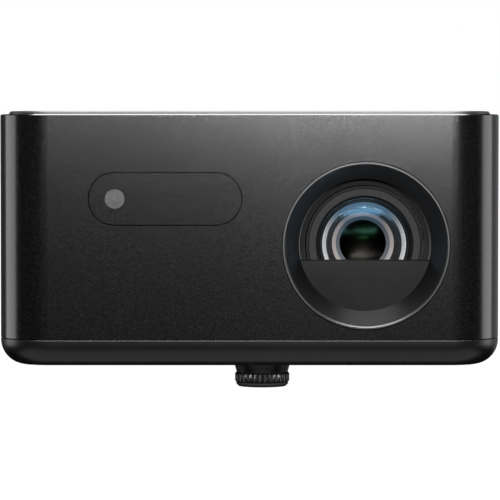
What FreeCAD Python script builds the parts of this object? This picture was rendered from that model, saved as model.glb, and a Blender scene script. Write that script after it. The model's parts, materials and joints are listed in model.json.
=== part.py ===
import FreeCAD, Part
import math
import os

# Compact home projector: a fine-grained sleeve between a base and a top cover, with a recessed
# focusing lens, a heat-pipe cooler with one fan, a side speaker and an adjustable front foot.
# Millimetres. X points right as seen from the front, Y from front to back, Z up. The origin lies
# under the middle of the case, on the surface that the feet stand on.

V = FreeCAD.Vector
X_AXIS = V(1, 0, 0)
Y_AXIS = V(0, 1, 0)
Z_AXIS = V(0, 0, 1)
TINY = 1e-4

# Case
width = 163.4
depth = 129.0
body_height = 82.8
foot_height = 7.8
corner_radius = 16.4
wall = 2.6
floor_thickness = 2.2
base_height = 8.7
base_edge_step = 0.5
top_reveal = 1.0
cover_thickness = 2.2
cover_gap = 0.3
cover_chamfer = 0.5
rim_chamfer = 0.4
seam_chamfer = 0.25
ledge_width = 2.0
ledge_thickness = 1.6
lip_clearance = 0.15
lip_thickness = 1.4
lip_height = 2.0
floor_fillet = 2.0
fit_gap = 0.15
seat_gap = 0.05
running_gap = 0.06

front_y = -depth / 2
rear_y = depth / 2
left_x = -width / 2
right_x = width / 2
base_z = foot_height
top_z = foot_height + body_height
rim_z = top_z - top_reveal
seam_z = base_z + base_height
floor_z = base_z + floor_thickness
cover_z = top_z - cover_thickness
ledge_z = cover_z - ledge_thickness
base_edge_radius = base_height - base_edge_step
cover_inset = wall + cover_gap
lip_inset = wall + lip_clearance
lip_z = seam_z + lip_height

# Long case screws in the four corners
case_head_radius = 2.8
case_head_height = 2.0
case_shank_radius = 1.25
case_hole_radius = 1.5
case_pilot_radius = 1.27
case_socket_radius = 1.2
case_socket_depth = 1.0
counterbore_radius = 3.1
counterbore_depth = 3.2
post_radius = 4.0
post_edge_margin = 0.2
post_rib = 2.0
post_join_height = 5.0
case_thread_length = 8.0

post_reach = corner_radius - base_edge_radius - counterbore_radius - post_edge_margin
post_x = width / 2 - corner_radius + post_reach * math.sqrt(0.5)
post_y = depth / 2 - corner_radius + post_reach * math.sqrt(0.5)
post_join_z = seam_z + post_join_height

# Small inner screws, all of one size
screw_head_radius = 1.9
screw_head_height = 1.3
screw_shank_radius = 0.95
screw_length = 5.5
screw_socket_radius = 0.8
screw_socket_depth = 0.7
screw_boss_radius = 3.2

# Side grilles
grille_end_margin = 11.5
grille_height = 50.0
grille_middle_z = 53.0
grille_corner = 4.0
grille_recess = 0.4
grille_flange = 2.0
grille_flange_thickness = 1.0
grille_slot = 1.6
grille_pitch = 3.2
grille_slot_margin = 3.0
grille_half = depth / 2 - corner_radius - grille_end_margin

# Lens recess and its bezel. Distances d are measured back from the front face.
lens_side = 44.0
recess_height = 39.2
recess_radius = 27.3
bezel_gap = 0.25
bezel_land = 0.4
bezel_edge = 0.15
bezel_glint = 0.4
cone_depth = 10.0
cone_end_radius = 21.6
bezel_shell = 1.4
mask_thickness = 1.4
mask_gap = 0.1
mask_step = 0.3
mask_drop = 4.8
mask_chamfer = 0.3
baffle_front = 13.5
baffle_thickness = 1.4
bezel_flange = 2.2
bezel_flange_thickness = 1.6
gasket_thickness = 0.5
barrel_clearance = 0.35

bezel_flange_radius = recess_radius + bezel_flange
lens_x = width / 2 - lens_side
lens_z = base_z + recess_height

# Focusing lens group, which slides in the fixed barrel
element_radius = 15.0
element_edge = 2.8
element_bulge = 3.0
element_hollow = 1.8
element_land = 1.4
element_hollow_step = 1.45
retainer_width = 3.4
retainer_length = 4.2
retainer_lip = 1.0
mouth_width = 0.3
mouth_depth = 0.6
mouth_wall = 0.5
barrel_front = 13.0
barrel_head_length = 10.0
second_radius = 12.95
second_edge = 5.0
second_bulge = 1.6
second_land = 1.75
cell_ring_length = 5.4
cell_ring_width = 1.35
stem_shoulder = 1.15
stem_wall = 1.6
stem_end = 44.0
pin_radius = 1.0
pin_place = 35.0
pin_bite = 2.2
pin_short = 0.2
pin_count = 3
focus_travel = 1.2
focus_angle = 20.0

retainer_bore = element_radius + retainer_width
mouth_radius = retainer_bore + mouth_width
barrel_radius = mouth_radius + mouth_wall
element_clear = element_radius - element_land
element_hollow_clear = second_radius - element_hollow_step
retainer_mouth = element_radius + retainer_lip
second_clear = second_radius - second_land
cell_ring_bore = second_radius - cell_ring_width
stem_bore = second_radius - stem_shoulder
stem_radius = second_radius + seat_gap + stem_wall
pin_root = stem_radius - pin_bite
element_front = barrel_front + mouth_depth + retainer_length
element_rear = element_front + element_edge
second_front = element_rear + cell_ring_length
second_rear = second_front + second_edge

# Fixed barrel, focus ring and the gear pair that turns it
fixed_front = 24.8
fixed_wall = 2.95
flange_front = 57.0
flange_thickness = 3.0
flange_width = 4.4
flange_screw_width = 2.2
rear_element_step = 2.6
rear_element_length = 6.0
rear_element_bulge = 1.4
rear_seat = 1.0
rear_seat_lip = 0.85
rear_surface_land = 1.0
clip_front = 25.2
clip_thickness = 1.0
clip_bite = 0.6
clip_width = 1.2
clip_gap_width = 8.0
ring_front = 26.4
ring_length = 24.6
ring_wall = 1.34
ring_backing = 0.1
shoulder_width = 1.8
shoulder_length = 2.0
slot_step = 2.5
slot_end_margin = 1.0
slot_clearance = 0.2
gear_module = 0.6
gear_rim = 2.0
pinion_teeth = 14
gear_front = 44.0
gear_length = 6.0
gear_backlash = 0.12
gear_addendum = 0.85
gear_root_gap = 0.1
pressure_angle = 20.0
pinion_angle = 225.0
pinion_overhang = 0.3
shaft_radius = 1.0
motor_radius = 4.9
motor_length = 15.0
motor_boss_radius = 2.0
motor_boss_length = 1.2
shaft_in_motor = 4.0
bracket_thickness = 1.2
bracket_width = 9.0
bracket_foot = 6.7
bracket_reach = 6.0
bracket_screw_inset = 4.0
motor_face_gap = 0.5

fixed_radius = stem_radius + seat_gap + fixed_wall
flange_radius = fixed_radius + flange_width
flange_screw_radius = fixed_radius + flange_screw_width
rear_element_radius = stem_radius - rear_element_step
rear_seat_bore = rear_element_radius + seat_gap - rear_seat_lip
clip_radius = fixed_radius + clip_width
shoulder_radius = fixed_radius + shoulder_width
ring_radius = fixed_radius + running_gap + ring_wall
ring_teeth = round(2 * (ring_radius + gear_rim) / gear_module)
pin_reach = ring_radius - pin_short
ring_rear = ring_front + ring_length
lens_back = flange_front + flange_thickness
gear_distance = gear_module * (ring_teeth + pinion_teeth) / 2
pinion_x = lens_x + gear_distance * math.cos(math.radians(pinion_angle))
pinion_z = lens_z + gear_distance * math.sin(math.radians(pinion_angle))
bracket_outer = gear_distance + bracket_reach
bracket_inner = bracket_outer - bracket_foot
bracket_screw = bracket_outer - bracket_screw_inset
motor_rear = gear_front - pinion_overhang - motor_boss_length - motor_face_gap
focus_lead = focus_travel / math.radians(focus_angle)

# Light engine
engine_left = 27.0
engine_right = 23.0
engine_height = 55.4
engine_wall = 2.4
engine_cover_thickness = 2.0
engine_lift = 6.0
engine_rear_space = 12.0
engine_corner = 2.0
ear_width = 7.0
ear_length = 7.0
ear_thickness = 2.4
ear_inset = 6.0
prism_width = 20.0
prism_size = 18.0
prism_air_gap = 0.1
prism_gap = 0.4
chip_width = 20.0
chip_height = 14.0
chip_board_width = 34.0
chip_board_height = 30.0
board_thickness = 1.6
source_radius = 5.5
source_length = 12.0
snout_radius = 4.0
mirror_share = 0.22
mirror_thickness = 1.0
mirror_rise = 6.0
mirror_offset = 7.4
integrator_thickness = 1.8
integrator_width = 12.0
lenslet_pitch = 4.0
lenslet_radius = 2.0
lenslet_tip = 1.2
engine_cover_rim = 1.2
chip_plug_height = 4.0
chip_plug_inset = 2.0
chip_plug_rise = 3.2

light_hole_radius = rear_element_radius
engine_x0 = lens_x - engine_left
engine_x1 = lens_x + engine_right
engine_y0 = front_y + lens_back
engine_y1 = rear_y - wall - engine_rear_space
engine_z0 = floor_z + engine_lift
engine_z1 = engine_z0 + engine_height
engine_floor = engine_z0 + engine_wall
mirror_length = mirror_share * (engine_y1 - engine_y0)
source_places = [engine_y0 + (engine_y1 - engine_y0) * share / 6 for share in (1, 3, 5)]

# Cooler: spreader, heat pipes, heatsink and fan
spreader_thickness = 8.0
spreader_below = 14.2
spreader_above = 15.8
pipe_radius = 2.4
pipe_bend = 8.0
pipe_end_margin = 2.0
pipe_places = (-2.0, 8.0, 18.0)
sink_gap = 1.5
sink_spreader_gap = 5.0
sink_half = 28.0
sink_lift = 1.6
sink_base = 6.0
fin_height = 51.8
fin_thickness = 0.8
fin_pitch = 3.2
fan_size = 60.0
fan_thickness = 15.0
fan_corner = 3.0
fan_wall_gap = 1.9
fan_lift = 2.4
fan_post_gap = 10.0
fan_rim = 1.5
rotor_clearance = 0.8
hub_radius = 13.0
strut_thickness = 2.5
strut_width = 3.0
strut_count = 4
spindle_radius = 1.5
blade_count = 7
blade_chord = 12.0
blade_thickness = 1.2
blade_pitch = 38.0
rotor_gap = 0.7
spindle_start = 3.0
rotor_wall = 2.0
strut_bite = 0.5
rest_offset = 20.0
rest_width = 4.0
rest_margin = 1.0

spreader_x1 = engine_x0 - source_length
spreader_x0 = spreader_x1 - spreader_thickness
fan_bore = fan_size / 2 - fan_rim
rotor_radius = fan_bore - rotor_clearance
fan_x0 = left_x + wall + fan_wall_gap
fan_x1 = fan_x0 + fan_thickness
fan_y = post_y - post_radius - fan_post_gap - fan_size / 2
fan_z0 = floor_z + fan_lift
fan_z = fan_z0 + fan_size / 2
sink_x0 = fan_x1 + sink_gap
sink_x1 = spreader_x0 - sink_spreader_gap
sink_z0 = floor_z + sink_lift
pipe_z = sink_z0 + sink_base / 2
pipe_x = spreader_x0 + spreader_thickness / 2

# Main board, power button and sockets at the back
board_drop = 6.0
board_left_gap = 4.5
board_right_gap = 1.0
board_front = 36.5
board_rear_gap = 1.5
board_hole_inset = 4.5
board_hole_radius = 1.1
button_radius = 5.9
button_gap = 0.2
button_from_right = 40.0
button_from_rear = 28.5
button_flange_radius = 7.4
button_flange_thickness = 1.0
button_flange_gap = 0.1
button_plunger = 0.4
button_travel = 0.6
switch_size = 6.0
switch_height = 3.4
stem_width_radius = 1.7
stem_gap = 0.1
# Chips on the main board: place along X, distance from the board's rear edge, width, breadth, height.
main_chips = (
    (-10.0, 50.4, 18.0, 18.0, 1.8),
    (14.0, 56.4, 10.0, 8.0, 1.2),
    (14.0, 44.4, 10.0, 8.0, 1.2),
    (-40.0, 30.4, 8.0, 8.0, 1.5),
)
small_chip_count = 5
small_chip_x = -28.0
small_chip_pitch = 7.0
small_chip_place = 31.4
small_chip_size = (4.0, 2.0, 0.9)
capacitor_x = -48.0
capacitor_places = (13.4, 22.4)
capacitor_radius = 3.0
capacitor_height = 5.0
light_from_button = 12.0
light_radius = 1.0
panel_width = 96.0
panel_height = 17.0
panel_corner = 3.0
panel_recess = 0.6
panel_flange = 2.0
panel_flange_thickness = 1.2
panel_drop = 5.0
socket_recess = 0.5
socket_length = 13.0
socket_shell = 0.6
socket_hollow = 8.0
tongue_height = 1.2
tongue_margin = 1.4
lock_slot_width = 7.0
lock_slot_height = 3.0
lock_slot_x = -62.0
lock_slot_z = 34.0

board_z1 = cover_z - board_drop
board_z0 = board_z1 - board_thickness
board_x0 = -post_x + post_radius + board_left_gap
board_x1 = post_x - post_radius - board_right_gap
board_y0 = front_y + board_front
board_y1 = rear_y - wall - board_rear_gap
button_x = right_x - button_from_right
button_y = rear_y - button_from_rear
socket_y1 = rear_y - panel_recess - socket_recess
panel_z = board_z0 - panel_drop
# Each socket: place along X, width and height of its shell.
sockets = {
    "dc_jack": (-38.0, 9.4, 8.6),
    "hdmi_port": (-20.0, 15.0, 5.6),
    "usb_port": (0.0, 13.2, 6.4),
    "usb_c_port": (16.0, 9.0, 3.4),
    "audio_jack": (32.0, 8.0, 7.0),
}
dc_bore = 3.2
dc_pin = 0.8
audio_bore = 1.75

# Speaker behind the right grille
speaker_y = 15.0
speaker_z = 48.0
speaker_side = 38.0
speaker_corner = 4.0
speaker_flange = 1.4
basket_bore = 17.2
basket_shell = 1.5
magnet_radius = 12.0
speaker_depth = 14.4
magnet_length = 5.0
plate_radius = 10.0
pole_radius = 6.0
coil_gap_radius = 8.0
coil_gap_depth = 3.0
pole_rise = 1.5
cone_radius = 16.9
coil_outer = 7.4
coil_inner = 6.5
cone_thickness = 0.8
speaker_travel = 0.5
basket_neck = 4.4
basket_bevel = 0.5
cone_clearance = 0.6
coil_lift = 1.0
throat_rise = 2.8
throat_back = 0.5
cone_front_radius = 13.8
cone_rear_radius = 14.2
cap_edge_radius = 7.0
cap_shoulder_radius = 3.8
cap_rise = 1.8
cap_edge_rise = 0.7
cap_shoulder_rise = 1.4

cone_set_back = speaker_travel + cone_clearance
speaker_x1 = right_x - wall - grille_flange_thickness
speaker_x0 = speaker_x1 - speaker_depth

# Sensor window on the front
window_length = 49.7
window_height = 17.1
window_z_height = 54.4
window_margin_share = 0.509
window_chamfer = 0.2
window_recess = 0.05
window_flange = 1.5
window_flange_thickness = 0.8
eye_radius = 3.2
eye_gap = 0.1
eye_recess = 0.15
eye_thickness = 1.2
eye_hole_radius = 2.4
sensor_standoff = 5.8
standoff_radius = 1.5
standoff_offsets = (-8.0, 19.0)
camera_size = 8.5
camera_body = 4.0
camera_barrel_radius = 2.2
ranger_width = 8.0
ranger_height = 4.0
ranger_depth = 3.0
ranger_x_offset = 12.0
ranger_eye_radius = 1.2
ranger_eye_offset = 2.2
ranger_eye_rise = 0.6
sensor_board_length = 44.0
sensor_board_height = 14.0
sensor_board_thickness = 1.2

window_free = lens_x - recess_radius - (left_x + corner_radius) - window_length
window_x = left_x + corner_radius + window_free * window_margin_share + window_length / 2
window_z = base_z + window_z_height
eye_x = window_x - window_length / 2 + window_height / 2
window_back = wall + window_flange_thickness
sensor_back = window_back + sensor_standoff

# Feet and tripod insert
foot_x = 4.2
foot_from_front = 22.0
collar_top_radius = 9.3
collar_bottom_radius = 8.5
foot_gap = 0.1
foot_disc_top = 4.6
foot_disc_radius = 9.0
foot_disc_edge = 0.5
flute_count = 30
flute_radius = 0.55
flute_depth = 0.3
pad_thickness = 1.3
pad_radius = 8.6
pad_bevel = 0.8
pad_gap = 0.05
pivot_radius = 1.5
pivot_height = 1.7
foot_shaft_radius = 3.0
foot_boss_radius = 6.5
foot_boss_room = 2.0
foot_bore = 3.4
nut_radius = 4.8
nut_z0 = 12.0
nut_height = 8.0
foot_travel = 6.0
nut_run_out = 2.0
rear_foot_x = 52.0
rear_foot_length = 18.4
rear_foot_width = 5.2
rear_foot_edge = 0.6
rear_foot_socket = 3.5
rear_collar_wall = 0.6
rear_collar_margin = 0.2
tripod_radius = 3.175
tripod_length = 8.0
tripod_insert_radius = 5.5
tripod_boss_radius = 7.5
tripod_cap = 2.0
tripod_from_fan = 14.0
intake_count = 8
intake_pitch = 5.4
intake_width = 2.4
intake_length = 24.0
intake_x0 = -62.0
intake_from_front = 16.5

foot_shaft_top = nut_z0 + nut_height + foot_travel - nut_run_out
foot_boss_top = foot_shaft_top + foot_boss_room
foot_y = front_y + foot_from_front
rear_collar_half = rear_foot_width / 2 + rear_collar_wall
rear_foot_y = rear_y - base_edge_radius - rear_collar_half - rear_collar_margin
tripod_x = (sink_x1 + engine_x0) / 2
tripod_y = fan_y - tripod_from_fan


# ---------------------------------------------------------------- shape helpers

def box(x0, x1, y0, y1, z0, z1):
    return Part.makeBox(x1 - x0, y1 - y0, z1 - z0, V(x0, y0, z0))


def rod(radius, start, end):
    along = end - start
    return Part.makeCylinder(radius, along.Length, start, along)


def post(radius, x, y, z0, z1):
    return rod(radius, V(x, y, z0), V(x, y, z1))


def runs_along(edge, axis):
    step = edge.Vertexes[1].Point - edge.Vertexes[0].Point
    return max(abs(step[i]) for i in range(3) if i != axis) < TINY


def rounded_box(x0, x1, y0, y1, z0, z1, radius, axis):
    """Box whose four edges along one axis (0, 1 or 2) are rounded."""
    block = box(x0, x1, y0, y1, z0, z1)
    return block.makeFillet(radius, [edge for edge in block.Edges if runs_along(edge, axis)])


def case_block(inset, z0, z1):
    """The case's plan outline, moved in by inset, between two heights."""
    half_x = width / 2 - inset
    half_y = depth / 2 - inset
    return rounded_box(-half_x, half_x, -half_y, half_y, z0, z1, corner_radius - inset, 2)


def edges_at_height(shape, z):
    boxes = [(edge, edge.BoundBox) for edge in shape.Edges]
    return [edge for edge, extent in boxes if max(abs(extent.ZMin - z), abs(extent.ZMax - z)) < TINY]


def fused(shapes):
    return shapes[0].multiFuse(shapes[1:]).removeSplitter()


def pill_y(length, height, x, z, y0, y1):
    """Flat bar with half-round ends, extruded along Y."""
    half = (length - height) / 2
    middle = box(x - half, x + half, y0, y1, z - height / 2, z + height / 2)
    ends = [rod(height / 2, V(x + side * half, y0, z), V(x + side * half, y1, z)) for side in (-1, 1)]
    return fused([middle] + ends)


def pill_z(length, breadth, x, y, z0, z1):
    """Flat bar with half-round ends, extruded along Z."""
    half = (length - breadth) / 2
    middle = box(x - half, x + half, y - breadth / 2, y + breadth / 2, z0, z1)
    ends = [post(breadth / 2, x + side * half, y, z0, z1) for side in (-1, 1)]
    return fused([middle] + ends)


def turned(outline, along, across, centre):
    """Solid of revolution: (radius, distance) points turned about the axis through centre."""
    points = [across * radius + along * distance for radius, distance in outline]
    face = Part.Face(Part.makePolygon(points + [points[0]]))
    solid = face.revolve(V(0, 0, 0), along, 360)
    solid.translate(centre)
    return solid


def lens_turned(outline):
    """Turned about the lens axis; distances are measured back from the front face."""
    return turned(outline, Y_AXIS, X_AXIS, V(lens_x, front_y, lens_z))


def lens_tube(outer, inner, front, rear):
    return lens_turned([(inner, front), (outer, front), (outer, rear), (inner, rear)])


def lens_rod(radius, front, rear):
    return rod(radius, V(lens_x, front_y + front, lens_z), V(lens_x, front_y + rear, lens_z))


def upright_turned(outline, x, y):
    return turned(outline, Z_AXIS, X_AXIS, V(x, y, 0))


def about_lens(shape, degrees):
    """Turn a shape about the lens axis, counter-clockwise as seen from the front."""
    moved = shape.copy()
    moved.rotate(V(lens_x, 0, lens_z), Y_AXIS, -degrees)
    return moved


def around_lens(shape, count):
    return [about_lens(shape, 360.0 * i / count) for i in range(count)]


def cap_drop(clear, bulge, radius):
    """How far a spherical cap of the given bulge has dropped at a radius."""
    sphere = (clear * clear + bulge * bulge) / (2 * bulge)
    return sphere - math.sqrt(sphere * sphere - radius * radius)


def lens_element(radius, front, rear, front_clear, front_bulge, rear_clear, rear_bulge):
    """Glass element. A positive bulge stands out of its edge plane, a negative one is hollow."""

    def surface(clear, edge, bulge, outward):
        middle = abs(bulge) - cap_drop(clear, abs(bulge), clear / 2)
        sign = outward * math.copysign(1.0, bulge)
        return Part.Arc(V(0, edge + sign * abs(bulge), 0), V(clear / 2, edge + sign * middle, 0),
                        V(clear, edge, 0)).toShape()

    front_arc = surface(front_clear, front, front_bulge, -1)
    rear_arc = surface(rear_clear, rear, rear_bulge, 1)
    corners = [V(front_clear, front, 0), V(radius, front, 0), V(radius, rear, 0), V(rear_clear, rear, 0)]
    sides = [Part.makeLine(corners[i], corners[i + 1]) for i in range(3)]
    axis = Part.makeLine(V(0, front - front_bulge, 0), V(0, rear + rear_bulge, 0))
    wire = Part.Wire(Part.__sortEdges__([front_arc, rear_arc, axis] + sides))
    solid = Part.Face(wire).revolve(V(0, 0, 0), Y_AXIS, 360)
    solid.translate(V(lens_x, front_y, lens_z))
    return solid


def hex_prism(radius, start, along, length):
    """Six-sided prism, for sockets in screw heads and for nuts."""
    side = V(1, 0, 0) if abs(along.x) < 0.5 else V(0, 1, 0)
    other = along.cross(side)
    turns = [math.radians(60 * i) for i in range(6)]
    points = [start + side * (radius * math.cos(t)) + other * (radius * math.sin(t)) for t in turns]
    return Part.Face(Part.makePolygon(points + [points[0]])).extrude(along * length)


def screw(seat, along):
    """Small pan-head screw whose head rests on seat and whose shank points along."""
    head = rod(screw_head_radius, seat - along * screw_head_height, seat)
    head = head.cut(hex_prism(screw_socket_radius, seat - along * screw_head_height, along,
                              screw_socket_depth))
    return fused([head, rod(screw_shank_radius, seat, seat + along * screw_length)])


def screw_pilot(seat, along):
    return rod(screw_shank_radius, seat, seat + along * screw_length)


# ---------------------------------------------------------------- places shared by several parts

def post_places():
    return [(sx * post_x, sy * post_y) for sx in (-1, 1) for sy in (-1, 1)]


def board_screw_places():
    xs = (board_x0 + board_hole_inset, board_x1 - board_hole_inset)
    ys = (board_y0 + board_hole_inset, board_y1 - board_hole_inset)
    return [(x, y) for x in xs for y in ys]


def ear_places():
    """Middle of each mounting ear of the light engine, and the side that it stands out on."""
    xs = (engine_x0 + ear_inset, engine_x1 - ear_inset)
    ends = ((engine_y0, -1), (engine_y1, 1))
    return [(x, y + side * ear_length / 2, side) for x in xs for y, side in ends]


def flange_screw_places():
    """Screw seats on the front of the lens flange."""
    turns = [math.radians(45 + 90 * i) for i in range(4)]
    reach = flange_screw_radius
    return [V(lens_x + reach * math.cos(t), front_y + flange_front, lens_z + reach * math.sin(t))
            for t in turns]


def bracket_screw_place():
    turn = math.radians(pinion_angle)
    seat_y = front_y + lens_back - bracket_thickness
    return V(lens_x + bracket_screw * math.cos(turn), seat_y, lens_z + bracket_screw * math.sin(turn))


# ---------------------------------------------------------------- case

def corner_rib(x, y, z0, z1):
    """Rib that ties a corner post to the wall, along the diagonal of the corner."""
    reach = corner_radius - wall / 2 - post_reach
    rib = box(0, reach, -post_rib / 2, post_rib / 2, z0, z1)
    rib.rotate(V(0, 0, 0), Z_AXIS, math.degrees(math.atan2(y / abs(y), x / abs(x))))
    rib.translate(V(x, y, 0))
    return rib


def grille_opening(side, clearance, reach):
    """Cutter for one side of the case; side is -1 on the left and 1 on the right."""
    half_z = grille_height / 2
    x0, x1 = sorted((side * (width / 2 - reach), side * (width / 2 + 1)))
    return rounded_box(x0, x1, -grille_half - clearance, grille_half + clearance,
                       grille_middle_z - half_z - clearance, grille_middle_z + half_z + clearance,
                       grille_corner + clearance, 0)


def rear_opening(clearance):
    half_x = panel_width / 2 + clearance
    half_z = panel_height / 2 + clearance
    return rounded_box(-half_x, half_x, rear_y - wall - 1, rear_y + 1, panel_z - half_z, panel_z + half_z,
                       panel_corner + clearance, 1)


def make_sleeve():
    shell = case_block(0, seam_z, rim_z)
    shell = shell.makeChamfer(rim_chamfer, edges_at_height(shell, rim_z))
    shell = shell.makeChamfer(seam_chamfer, edges_at_height(shell, seam_z))
    shell = shell.cut(case_block(wall, seam_z - 1, ledge_z))
    shell = shell.cut(case_block(wall + ledge_width, seam_z, rim_z + 1))
    shell = shell.cut(case_block(wall, cover_z, rim_z + 1))
    posts = []
    for x, y in post_places():
        column = post(post_radius, x, y, post_join_z, ledge_z)
        posts.append(column)
        posts.append(corner_rib(x, y, post_join_z, ledge_z))
    shell = fused([shell] + posts)
    for x, y in post_places():
        shell = shell.cut(post(case_pilot_radius, x, y, post_join_z - 1, post_join_z + case_thread_length))
    for side in (-1, 1):
        shell = shell.cut(grille_opening(side, fit_gap, wall + 1))
    shell = shell.cut(lens_rod(recess_radius, -1, wall + 1))
    window = pill_y(window_length + 2 * fit_gap, window_height + 2 * fit_gap, window_x, window_z,
                    front_y - 1, front_y + wall + 1)
    shell = shell.cut(window)
    shell = shell.cut(rear_opening(fit_gap))
    lock = pill_y(lock_slot_width, lock_slot_height, lock_slot_x, lock_slot_z, rear_y - wall - 1, rear_y + 1)
    return shell.cut(lock)


def make_top_cover():
    plate = case_block(cover_inset, cover_z, top_z)
    plate = plate.makeChamfer(cover_chamfer, edges_at_height(plate, top_z))
    bosses = [post(screw_boss_radius, x, y, board_z1, cover_z) for x, y in board_screw_places()]
    plate = fused([plate] + bosses)
    for x, y in board_screw_places():
        plate = plate.cut(screw_pilot(V(x, y, board_z0), Z_AXIS))
    plate = plate.cut(post(button_radius + button_gap, button_x, button_y, cover_z - 1, top_z + 1))
    light_x = button_x - light_from_button
    return plate.cut(post(light_radius, light_x, button_y, cover_z - 1, top_z + 1))


def base_shell():
    shell = case_block(0, base_z, seam_z)
    shell = shell.makeFillet(base_edge_radius, edges_at_height(shell, base_z))
    shell = shell.makeChamfer(seam_chamfer, edges_at_height(shell, seam_z))
    shell = fused([shell, case_block(lip_inset, floor_z, lip_z)])
    hollow = case_block(lip_inset + lip_thickness, floor_z, lip_z + 1)
    hollow = hollow.makeFillet(floor_fillet, edges_at_height(hollow, floor_z))
    return shell.cut(hollow)


def base_supports():
    """Posts, bosses, rests and collars that stand on or hang below the floor."""
    pieces = [post(post_radius, x, y, floor_z - 1, post_join_z) for x, y in post_places()]
    for x, y, side in ear_places():
        pieces.append(post(screw_boss_radius, x, y, floor_z - 1, engine_z0))
    for side in (-1, 1):
        y0 = fan_y + side * rest_offset - rest_width / 2
        y1 = y0 + rest_width
        pieces.append(box(fan_x0 + rest_margin, fan_x1 - rest_margin, y0, y1, floor_z - 1, fan_z0))
        pieces.append(box(sink_x0 + rest_margin, sink_x1 - rest_margin, y0, y1, floor_z - 1, sink_z0))
    pieces.append(post(foot_boss_radius, foot_x, foot_y, floor_z - 1, foot_boss_top))
    collar_z = foot_disc_top + foot_gap
    pieces.append(Part.makeCone(collar_bottom_radius, collar_top_radius, base_z - collar_z,
                                V(foot_x, foot_y, collar_z), Z_AXIS))
    for side in (-1, 1):
        pieces.append(pill_z(rear_foot_length + 2 * rear_collar_wall, rear_foot_width + 2 * rear_collar_wall,
                             side * rear_foot_x, rear_foot_y, rear_foot_socket, floor_z))
    pieces.append(post(tripod_boss_radius, tripod_x, tripod_y, floor_z - 1,
                       base_z + tripod_length + tripod_cap))
    return pieces


def make_bottom_case():
    case = fused([base_shell()] + base_supports())
    for x, y in post_places():
        case = case.cut(post(case_hole_radius, x, y, base_z - 1, post_join_z + 1))
        case = case.cut(post(counterbore_radius, x, y, base_z - 1, base_z + counterbore_depth))
    for x, y, side in ear_places():
        case = case.cut(screw_pilot(V(x, y, engine_z0 + ear_thickness), -Z_AXIS))
    case = case.cut(post(foot_bore, foot_x, foot_y, 0, foot_boss_top + 1))
    case = case.cut(hex_prism(nut_radius, V(foot_x, foot_y, nut_z0), Z_AXIS, nut_height))
    for side in (-1, 1):
        case = case.cut(pill_z(rear_foot_length, rear_foot_width, side * rear_foot_x, rear_foot_y, 0, base_z))
    case = case.cut(post(tripod_insert_radius, tripod_x, tripod_y, base_z - 1, base_z + tripod_length))
    for i in range(intake_count):
        y0 = front_y + intake_from_front
        x = intake_x0 + i * intake_pitch
        slot = box(x, x + intake_width, y0, y0 + intake_length, base_z - 1, floor_z + 1)
        case = case.cut(slot)
    return case


def make_grille(side):
    """Slotted side grille, slightly recessed, with a flange behind the wall."""
    outer_x = side * (width / 2 - grille_recess)
    wall_x = side * (width / 2 - wall)
    flange_x = side * (width / 2 - wall - grille_flange_thickness)
    z0 = grille_middle_z - grille_height / 2
    z1 = grille_middle_z + grille_height / 2
    x0, x1 = sorted((outer_x, wall_x))
    plate = rounded_box(x0, x1, -grille_half, grille_half, z0, z1, grille_corner, 0)
    x0, x1 = sorted((wall_x, flange_x))
    flange = rounded_box(x0, x1, -grille_half - grille_flange, grille_half + grille_flange,
                         z0 - grille_flange, z1 + grille_flange, grille_corner + grille_flange, 0)
    grille = fused([plate, flange])
    count = int((2 * grille_half - 2 * grille_slot_margin) / grille_pitch)
    x0, x1 = sorted((outer_x + side, flange_x - side))
    for i in range(count):
        y = (i - (count - 1) / 2) * grille_pitch
        slot = box(x0, x1, y - grille_slot / 2, y + grille_slot / 2, z0 + grille_slot_margin,
                   z1 - grille_slot_margin)
        grille = grille.cut(slot)
    return grille


def make_case_screws():
    screws = []
    head_z = base_z + counterbore_depth - case_head_height
    for x, y in post_places():
        head = post(case_head_radius, x, y, head_z, head_z + case_head_height)
        head = head.cut(hex_prism(case_socket_radius, V(x, y, head_z), Z_AXIS, case_socket_depth))
        shank = post(case_shank_radius, x, y, head_z + case_head_height, post_join_z + case_thread_length)
        screws.append(fused([head, shank]))
    return Part.Compound(screws)


def make_inner_screws():
    screws = [screw(V(x, y, engine_z0 + ear_thickness), -Z_AXIS) for x, y, side in ear_places()]
    screws += [screw(V(x, y, board_z0), Z_AXIS) for x, y in board_screw_places()]
    screws += [screw(seat, Y_AXIS) for seat in flange_screw_places()]
    screws.append(screw(bracket_screw_place(), Y_AXIS))
    return Part.Compound(screws)


# ---------------------------------------------------------------- feet and tripod insert

def make_foot_pad():
    outline = [(0, 0), (pad_radius - pad_bevel, 0), (pad_radius, pad_bevel), (pad_radius, pad_thickness),
               (pivot_radius, pad_thickness), (pivot_radius, pad_thickness + pivot_height),
               (0, pad_thickness + pivot_height)]
    return upright_turned(outline, foot_x, foot_y)


def make_foot_screw():
    z0 = pad_thickness + pad_gap
    outline = [(0, z0), (foot_disc_radius - foot_disc_edge, z0), (foot_disc_radius, z0 + foot_disc_edge),
               (foot_disc_radius, foot_disc_top - foot_disc_edge),
               (foot_disc_radius - foot_disc_edge, foot_disc_top), (foot_shaft_radius, foot_disc_top),
               (foot_shaft_radius, foot_shaft_top), (0, foot_shaft_top)]
    solid = upright_turned(outline, foot_x, foot_y)
    reach = foot_disc_radius - flute_depth + flute_radius
    flutes = []
    for i in range(flute_count):
        turn = 2 * math.pi * i / flute_count
        x = foot_x + reach * math.cos(turn)
        y = foot_y + reach * math.sin(turn)
        flutes.append(post(flute_radius, x, y, 0, foot_disc_top + 1))
    solid = solid.cut(Part.Compound(flutes))
    bore = post(pivot_radius + running_gap, foot_x, foot_y, 0, z0 + pivot_height + pad_gap)
    return solid.cut(bore)


def make_foot_nut():
    nut = hex_prism(nut_radius, V(foot_x, foot_y, nut_z0), Z_AXIS, nut_height)
    return nut.cut(post(foot_shaft_radius + running_gap, foot_x, foot_y, 0, foot_boss_top))


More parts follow.
